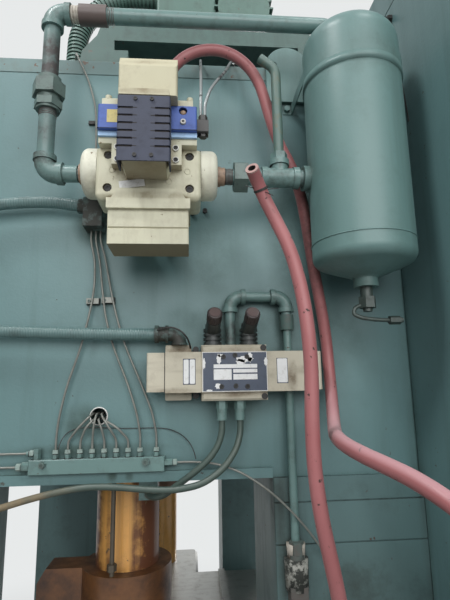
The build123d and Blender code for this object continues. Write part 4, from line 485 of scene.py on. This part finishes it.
bar(bm, spot(drop_x, drop_out, -149), spot(drop_x, drop_out, -206), 23.5, 22.5, sides=32)
piece("pipe_foot_wrap", bm, [dirty_wrap], smooth=True)
copper_bush = finish("copper_bush", (0.38, 0.27, 0.19), (0.28, 0.18, 0.12), (0.08, 0.06, 0.045), 0.45,
                     broad=40.0, cloud=90.0, grime=0.8)
bm = bmesh.new()
for start, end, radius in ((205, 212, 20.5), (212, 221, 18.6), (-71, -63, 20.5)):
    bar(bm, spot(start, pipe_out, port_up), spot(end, pipe_out, port_up), radius, sides=32)
piece("valve_bushings", bm, [copper_bush])
bm = bmesh.new()
for turn in range(6):
    bead(bm, spot(223 + 2.6 * turn, pipe_out, port_up), along_wall, 16.0, 0.9, sides=32)
for turn in range(4):
    bead(bm, spot(-24 + 3.5 * turn, pipe_out, top_pipe_up), along_wall, 16.8, 0.8, sides=32)
for turn in range(4):
    bead(bm, spot(riser_x, pipe_out, 739 + 3.5 * turn), straight_up, 16.9, 0.8, sides=32)
piece("pipe_threads", bm, [brown_iron], smooth=True)

# Air tank: a rolled and welded vessel with pressed ends and a boss for the pipe, held by a steel strap and a
# lug plate on the wall. The side plate next to it has a bolt and a thin dark line down its face.
enamel_tank = finish("tank_enamel", (0.108, 0.20, 0.19), (0.14, 0.245, 0.235), (0.04, 0.065, 0.053), 0.4,
                     broad=3.0, cloud=13.0, grime=0.3, streaks=0.35, corner=0.85, reach=0.035, grain=180.0,
                     grain_height=0.0002,
                     marks=(((500, 227, 840), (150, 150, 60), 0.3), ((401, 112, 614), (60, 60, 60), 0.6),
                            ((500, 125, 380), (80, 80, 60), 0.5)))
dress(enamel_tank, "air_tank", "tank_bracket", "tank_strap")
dress(enamel_fitting, "hose_fittings")
tank_x, tank_out, tank_radius = 500, 125, 102
seam_up, boss_x, drain_boss_up = 466, 401, 398
strap_low, strap_high = 815, 832.2
bm = bmesh.new()
bead(bm, spot(tank_x, tank_out, seam_up), straight_up, tank_radius + 0.2, 1.3, sides=96)
bar(bm, spot(tank_x, tank_out, strap_low), spot(tank_x, tank_out, strap_high), tank_radius + 2.8, sides=96)
bead(bm, spot(boss_x, pipe_out, port_up), along_wall, 27, 3.0)
bead(bm, spot(tank_x, tank_out, drain_boss_up), straight_up, 25, 2.5)
piece("tank_welds", bm, [enamel_tank], smooth=True)
plate_face, bolt_out, bolt_up = 640, 58, 1061
bm = bmesh.new()
bar(bm, spot(plate_face, bolt_out, bolt_up), spot(plate_face - 9, bolt_out, bolt_up), 9, sides=6)
bar(bm, spot(plate_face - 9, bolt_out, bolt_up), spot(plate_face - 18, bolt_out, bolt_up), 4.5)
bar(bm, spot(plate_face + 1.3, bolt_out, 1052), spot(plate_face + 1.3, 93, 765), 2.7)
piece("side_plate_bolt", bm, [cast_black])

# Main valve: cream castings with grime and painted shade in every corner, two stacked blocks below, and on
# its face the pilot head, whose sides are closed by a black slotted sheet. The blocks' and the pilot head's
# undersides carry painted shade.
cream_tones = ((0.575, 0.56, 0.405), (0.65, 0.64, 0.50), (0.19, 0.145, 0.075), 0.5)
cream_wear_and_corner_shade = dict(broad=11.0, cloud=30.0, cloud_from=0.5, cloud_to=0.85, grime=0.42, corner=1.0,
                  reach=0.025, streaks=0.25, stretch=(60, 60, 6), chips=0.15, chip_scale=110.0,
                  chip_colour=(0.22, 0.17, 0.09), grain=380.0, grain_height=0.0003,
                  marks=(((40, 160, 590), (60, 60, 40), 0.3), ((69, 170, 545), (110, 60, 12), 0.45),
                         ((69, 225, 556), (80, 60, 45), 0.3), ((-25, 112, 570), (60, 90, 40), 0.4)))
cream = finish("cream_casting", *cream_tones, **cream_wear_and_corner_shade)
# Painted light: the end caps take a lighter copy of the same cream, as if lit.
painted_lit_cream_caps = finish("painted_lit_cream_caps", (0.77, 0.765, 0.62), (0.77, 0.765, 0.64), *cream_tones[2:], **cream_wear_and_corner_shade)
# Painted shade: the blocks and the pilot head take copies of the cream darkened on their downward faces.
under_shaded_cream_blocks = finish("under_shaded_cream_blocks", *cream_tones, under=0.85, **cream_wear_and_corner_shade)
under_shaded_cream_head = finish("under_shaded_cream_head", *cream_tones, under=0.6, **cream_wear_and_corner_shade)
cream_box = finish("junction_cream", (0.57, 0.545, 0.39), (0.49, 0.455, 0.31), (0.20, 0.14, 0.075), 0.45,
                   broad=14.0, cloud=30.0, grime=0.35, corner=0.7,
                   marks=(((69, 250, 785), (70, 60, 12), 0.5), ((69, 250, 708), (70, 60, 10), 0.5)))
black_sheet = finish("black_sheet", (0.022, 0.028, 0.053), (0.032, 0.041, 0.074), (0.016, 0.015, 0.015),
                     0.6, broad=16.0, cloud=60.0, grime=0.4, corner=0.5)
blue_block = finish("blue_block", (0.045, 0.095, 0.35), (0.065, 0.13, 0.43), (0.02, 0.025, 0.05), 0.5,
                    broad=16.0, cloud=60.0, grime=0.45, corner=0.7, reach=0.012, chips=0.2,
                    chip_colour=(0.25, 0.25, 0.25))
blue_band = finish("blue_band", (0.33, 0.53, 0.80), (0.40, 0.60, 0.84), (0.05, 0.07, 0.1), 0.45, broad=16.0,
                   cloud=60.0, grime=0.4, corner=0.8, reach=0.01)
white_plastic = finish("white_plastic", (0.62, 0.62, 0.58), (0.52, 0.52, 0.48), (0.2, 0.17, 0.12), 0.4)
dress(cream, "valve_body", "clamp_strips")
dress(under_shaded_cream_head, "pilot_head")
dress(painted_lit_cream_caps, "valve_end_caps")
dress(under_shaded_cream_blocks, "valve_blocks")
dress(cream_box, "junction_box")
dress(black_sheet, "slotted_cover")
dress(blue_block, "pilot_manifold")
dress(blue_band, "pilot_band")
dress(white_plastic, "override_button")


def slab(bm, x, out, up, tilt=0.0):
    """A square-edged slab by its ranges in mm, tilted about the outward axis."""
    low, high = spot(x[0], out[0], up[0]), spot(x[1], out[1], up[1])
    size = Matrix.Diagonal((*(abs(b - a) for a, b in zip(low, high)), 1))
    place = Matrix.Translation((low + high) / 2) @ Matrix.Rotation(tilt, 4, "Y")
    return bmesh.ops.create_cube(bm, size=1, matrix=place @ size)["verts"]


def screw(bm, start, end, radius):
    """A screw head with a hollow in its face, its radius in mm."""
    way = (end - start).normalized()
    head = bar(bm, start, end, radius, radius * 0.9)
    faces = {face for vert in head for face in vert.link_faces}
    cap = max(faces, key=lambda face: face.calc_center_median().dot(way))
    bmesh.ops.inset_region(bm, faces=[cap], thickness=radius * 0.00045)
    hollow = bmesh.ops.extrude_discrete_faces(bm, faces=[cap])["faces"]
    bmesh.ops.translate(bm, verts=hollow[0].verts, vec=way * -0.0018)


zinc = finish("bright_zinc", (0.60, 0.61, 0.59), (0.74, 0.74, 0.71), (0.09, 0.085, 0.07), 0.35, broad=60.0,
              cloud=120.0, grime=0.6, metal=0.2, corner=0.8, reach=0.006)
ear_face, head_height = 192, 3.6
bm = bmesh.new()
for x, up in ((15, 607), (15, 631), (123, 607), (123, 631)):
    screw(bm, spot(x, ear_face, up), spot(x, ear_face + head_height, up), 6.2)
piece("ear_screws", bm, [zinc])
yellow_label = finish("yellow_label", (0.55, 0.45, 0.13), (0.62, 0.54, 0.25), (0.25, 0.2, 0.1), 0.5,
                      broad=60.0, cloud=140.0, grime=0.6, corner=0.2)
plain_label = finish("plain_label", (0.86, 0.87, 0.87), (0.74, 0.75, 0.74), (0.28, 0.25, 0.2), 0.45,
                     broad=60.0, cloud=120.0, cloud_from=0.55, grime=0.6, corner=0.2)
bm = bmesh.new()
slab(bm, (-4, 18), (205, 205.4), (674, 700))
piece("yellow_label", bm, [yellow_label])
bm = bmesh.new()
slab(bm, (16, 64), (170.4, 171.4), (561, 576.5), math.radians(-9))
piece("plain_valve_sticker", bm, [plain_label])
bm = bmesh.new()
slab(bm, (24, 113), (200, 252.6), (700.5, 712.5))
piece("junction_box_foot", bm, [cream_box])
# Painted shade: dark lines beside the pilot head and round the end caps, and in the slots of the black
# sheet.
cover_rows, lowest_row, row_pitch = 6, 601, 14.6
bm = bmesh.new()
for x in ((-21.4, 24), (113, 163.4)):
    slab(bm, x, (131, 205.4), (662.3, 663.2))
for x in (-29.2, 171.2):
    bead(bm, spot(x, pipe_out, port_up), along_wall, 49.6, 0.7, sides=64)
for row in range(cover_rows):
    up = lowest_row + row_pitch * row
    for start, end in ((49.2, 57), (81, 88.8)):
        slab(bm, (start, end), (253.2, 253.5), (up - 0.7, up + 0.7))
    for start, end in ((26, 49.6), (88.4, 112)):
        slab(bm, (start, end), (250.1, 251), (up - 1.9, up + 1.9))
piece("valve_shade_lines", bm, [shade_black])
into_wall = Vector((0, 1, 0))
bm = bmesh.new()
for x, up in ((2, 597), (145, 596), (110, 575)):
    bead(bm, spot(x, 170.2, up), into_wall, 5.5, 0.8, sides=24)
piece("cast_marks", bm, [cream], smooth=True)
bm = bmesh.new()
bmesh.ops.create_icosphere(bm, subdivisions=3, radius=0.0062, matrix=Matrix.Translation(spot(137, 199, 699)))
piece("recess_ball", bm, [copper_bush], smooth=True)
bm = bmesh.new()
bar(bm, spot(137, 205, 678), spot(137, 209.3, 678), 2.4, sides=16)
piece("button_centre", bm, [shade_black], body="button_body")

# Sensor connector at the right of the blue manifold: a black moulded plug between two nuts, with two braided
# cables that run up and over the crown's edge.
black_plastic = finish("black_plastic", (0.02, 0.02, 0.02), (0.035, 0.035, 0.033), (0.08, 0.07, 0.05), 0.4,
                       broad=30.0, cloud=80.0, grime=0.4)
braid = finish("cable_braid", (0.18, 0.20, 0.20), (0.34, 0.365, 0.365), (0.015, 0.015, 0.015), 0.35,
               broad=25.0, cloud=16.0, cloud_from=0.55, cloud_to=0.6, grime=0.95, metal=0.3, corner=0.0)
dress(black_plastic, "sensor_connector")
dress(braid, "sensor_cables")

# Directional valve: a cast cream body with a dark face plate and a square solenoid screwed to each side.
# Two ribbed throttles stand on it, and their moulded knobs turn on slanted stems.
cream_valve = finish("cream_valve", (0.50, 0.46, 0.35), (0.58, 0.55, 0.445), (0.16, 0.12, 0.075), 0.48,
                     broad=14.0, cloud=30.0, cloud_from=0.5, cloud_to=0.85, grime=0.5, corner=1.0,
                     reach=0.022, streaks=0.3, stretch=(8, 60, 60), chips=0.1,
                     chip_colour=(0.14, 0.10, 0.06),
                     marks=(((354, 72, 205), (16, 40, 40), 0.7), ((384, 72, 218), (34, 40, 14), 0.5),
                            ((115, 66, 180), (70, 40, 10), 0.5), ((135, 50, 263), (60, 40, 12), 0.6),
                            ((240, 60, 262), (70, 40, 8), 0.5), ((240, 60, 172), (70, 40, 9), 0.6)))
brown_plastic = finish("brown_plastic", (0.03, 0.021, 0.021), (0.048, 0.033, 0.032), (0.012, 0.01, 0.01),
                       0.36, broad=30.0, cloud=90.0, grime=0.5)
control_black = finish("control_black", (0.022, 0.027, 0.026), (0.038, 0.046, 0.043), (0.012, 0.01, 0.01),
                       0.36, broad=30.0, cloud=90.0, grime=0.5)
dress(cream_valve, "directional_valve", "solenoids", "terminal_box")
dress(brown_plastic, "flow_knob_left", "flow_knob_right")
dress(control_black, "flow_controls")
knob_disc = finish("knob_disc", (0.10, 0.062, 0.058), (0.075, 0.048, 0.045), (0.03, 0.022, 0.02), 0.5,
                   broad=50.0)
knob_way = Vector((0.04, -0.87, 0.49)).normalized()
knob_out, knob_up, knob_start, knob_length, knob_ribs = 46, 302, 0.038, 0.0243, 18
across = knob_way.cross(along_wall).normalized()
for side, x in (("left", 196), ("right", 272)):
    stem = spot(x, knob_out, knob_up)
    face = stem + knob_way * (knob_start + knob_length)
    bm = bmesh.new()
    bar(bm, face - knob_way * 0.001, face + knob_way * 0.0008, 11.5, 10.8, sides=32)
    piece(f"knob_disc_{side}", bm, [knob_disc], body=f"knob_{side}_body")
    bm = bmesh.new()
    for rib in range(knob_ribs):
        foot = stem + Matrix.Rotation(rib * 2 * math.pi / knob_ribs, 3, knob_way) @ across * 0.0142
        bar(bm, foot + knob_way * 0.0405, foot + knob_way * 0.060, 1.3, sides=6)
    piece(f"knob_grip_{side}", bm, [brown_plastic], body=f"knob_{side}_body")
plate_navy = finish("face_plate_navy", (0.034, 0.05, 0.085), (0.048, 0.067, 0.105), (0.02, 0.02, 0.025),
                    0.38, broad=40.0, cloud=90.0, grime=0.5, corner=0.3)
# The face plate's plain printed fields, and the white patches where it has worn through.
plate_x, plate_up, plate_out = (173.5, 303.5), (178, 256), 74.8
fields = (
    ((195.8, 283.3), (223.8, 231.4)), ((195.8, 231.5), (201, 221.7)),
    ((234.8, 283.3), (214.6, 221.7)), ((234.8, 283.3), (201, 211.8)),
)
worn_patches = (
    (206.5, 242, 4.5, 10), (210, 249, 6, 3), (258, 241, 17, 6), (269, 245, 5, 10), (250, 236, 9, 6),
    (204, 189, 5.5, 5.5), (176.5, 233, 3, 10), (301, 236, 3.5, 8), (187, 180.5, 6, 2),
)
bm = bmesh.new()
slab(bm, plate_x, (plate_out, plate_out + 0.7), plate_up)
for x, up in fields:
    slab(bm, x, (plate_out + 0.7, plate_out + 1.5), up)
for x, up, wide, high in worn_patches:
    middle = spot(x, plate_out + 1.4, up)
    size = Matrix.Diagonal((wide, 1, high, 1))
    verts = bmesh.ops.create_circle(
        bm, cap_ends=True, segments=18, radius=0.001,
        matrix=Matrix.Translation(middle) @ size @ Matrix.Rotation(math.pi / 2, 4, "X"))["verts"]
    for turn, vert in enumerate(verts):
        pull = 1 + 0.18 * math.sin(2.3 * turn + x)
        vert.co = middle.lerp(vert.co, pull)
piece("face_plate_fields", bm, [plain_label])
solenoid_face = 71.9
bm = bmesh.new()
slab(bm, (plate_x[0] + 1.2, plate_x[1] - 1.2), (75.4, 76), (plate_up[0] + 1.2, plate_up[1] - 1.2))
slab(bm, (135, 160), (solenoid_face, solenoid_face + 0.4), (192.5, 243.5))
slab(bm, (323.5, 346.2), (solenoid_face, solenoid_face + 0.4), (192.5, 242.8))
piece("face_plate", bm, [plate_navy])
bm = bmesh.new()
for x in ((136.3, 146.3), (148.3, 158.8), (324.6, 345.1)):
    sticker = slab(bm, x, (solenoid_face + 0.3, solenoid_face + 0.8), (194, 242))
    edges = {edge for vert in sticker for edge in vert.link_edges}
    corners = [edge for edge in edges if abs(edge.verts[0].co.y - edge.verts[1].co.y) > 0.0003]
    bmesh.ops.bevel(bm, geom=corners, offset=0.0022, segments=3, profile=0.5, affect="EDGES", material=-1)
piece("solenoid_stickers", bm, [plain_label])
bm = bmesh.new()
for x, up in ((215.8, 246.3), (239, 249.5), (262.8, 246.3), (211.5, 187.7), (239.8, 188.6), (263.3, 187.4)):
    screw(bm, spot(x, 76, up), spot(x, 78.5, up), 5.0)
for x in ((98.2, 99.3), (403, 403.8)):
    slab(bm, x, (60, 72.2), (178.2, 256))
for x, start, end, low, high in ((161, 0, 42, 170, 264), (298, 60, 69.5, 167.5, 264.5)):
    for up in (low, high):
        bar(bm, spot(x, start, up), spot(x, end, up), 6.2)
piece("directional_valve_screws", bm, [cast_black])
terminal_route = [(82, 52, 304), (104, 58, 311), (130, 60, 303), (147, 54, 283), (150, 30, 268)]
earth_wire = hose("terminal_wire", terminal_route, 0.0035, black_wire)

# Lubrication manifold: an enamelled bar screwed to the wall, with a row of pale green tube nuts whose paler
# colour partly stands for a painted highlight. Its thin steel tubes fan out to a hole in the wall or run
# up to a gland under the main valve, held by small clips.
pale_tube = finish("pale_tube", (0.16, 0.172, 0.155), (0.25, 0.255, 0.23), (0.06, 0.05, 0.04), 0.38,
                   broad=20.0, cloud=60.0, grime=0.6, metal=0.3, corner=0.4)
# Paler green for the tube nuts, standing partly for their highlights.
pale_green = finish("highlight_pale_nut_enamel", (0.25, 0.34, 0.31), (0.34, 0.42, 0.385), (0.05, 0.055, 0.045), 0.4,
                    broad=60.0, cloud=120.0, grime=0.7, corner=1.0, reach=0.01)
dress(enamel_pipe, "lube_manifold")
dress(pale_tube, "lube_tubes")
dress(enamel_fitting, "lube_fittings")
manifold_out = 11
nut_places = (-121, -97, -73, -49, -25, -1, 23, 47, 80)
side_nuts = ((114, 121.5, 37, 6.6), (-187, -195.5, 36, 7.4), (-171, -163, 62, 6.4))
bm = bmesh.new()
for x in (-143, 59):
    screw(bm, spot(x, 24, 41), spot(x, 29, 41), 6.5)
piece("manifold_screws", bm, [painted_iron])
bm = bmesh.new()
# Painted shade: near-black rings at the nuts' feet and thin frames behind the tube clips.
nut_and_clip_shade = bmesh.new()
for x in nut_places:
    bar(bm, spot(x, manifold_out, 60.6), spot(x, manifold_out, 67.6), 6.3, 5.6, sides=6)
    bar(nut_and_clip_shade, spot(x, manifold_out, 58.6), spot(x, manifold_out, 60.8), 5.4)
    bar(nut_and_clip_shade, spot(x, manifold_out, 49.9), spot(x, manifold_out, 51.1), 7.0)
for start, end, up, radius in side_nuts:
    back = start - math.copysign(1.8, end - start)
    bar(bm, spot(start, manifold_out, up), spot(end, manifold_out, up), radius, sides=6)
    bar(nut_and_clip_shade, spot(start, manifold_out, up), spot(back, manifold_out, up), radius * 0.85)
piece("tube_nuts", bm, [pale_green])
bm = bmesh.new()
for x, up in ((-59, 372), (-27, 374)):
    screw(bm, spot(x - 7, 12.7, up), spot(x - 7, 15.2, up), 3.6)
    slab(nut_and_clip_shade, (x - 14.4, x + 14.4), (0, 1.2), (up - 7.4, up + 7.4))
piece("clip_screws", bm, [painted_iron])
piece("tube_nut_feet", nut_and_clip_shade, [shade_black])
bm = bmesh.new()
slab(bm, (-84, -70), (0, 7), (790, 798))
piece("lid_clip", bm, [cast_black])
bm = bmesh.new()
bead(bm, spot(-40, 0.2, 131), into_wall, 17.6, 1.5)
piece("tube_hole_ring", bm, [zinc], smooth=True)
wall_wire_route = [
    (-114, 20, 70), (-112, 8, 90), (-92, 5, 107), (-60, 5, 110), (25, 5, 105), (92, 5, 106), (124, 5, 96),
    (146, 6, 78), (158, 12, 56), (160, 20, 44),
]
wall_wire = hose("manifold_wire", wall_wire_route, 0.0018, black_wire)

# Conduits: ribbed sheathed tubes that bring the wires to the gland and to the valve's terminal box. The two
# small green rubber hoses leave the directional valve by swaged fittings.
green_rubber = finish("green_rubber", (0.041, 0.066, 0.057), (0.07, 0.105, 0.088), (0.21, 0.165, 0.10),
                      0.42, broad=10.0, cloud=40.0, grime=0.12, corner=0.0,
                      marks=(((-290, 40, -30), (260, 260, 160), 1.2),))
conduit_skin = finish("conduit_skin", (0.088, 0.16, 0.158), (0.125, 0.215, 0.21), (0.04, 0.045, 0.04), 0.36,
                      broad=9.0, cloud=28.0, grime=0.6, corner=0.9, reach=0.02, grain=200.0,
                      grain_height=0.0004, ribs=60.0)
dress(conduit_skin, "conduits")
dress(enamel_fitting, "conduit_fittings")
dress(green_rubber, "green_hoses")
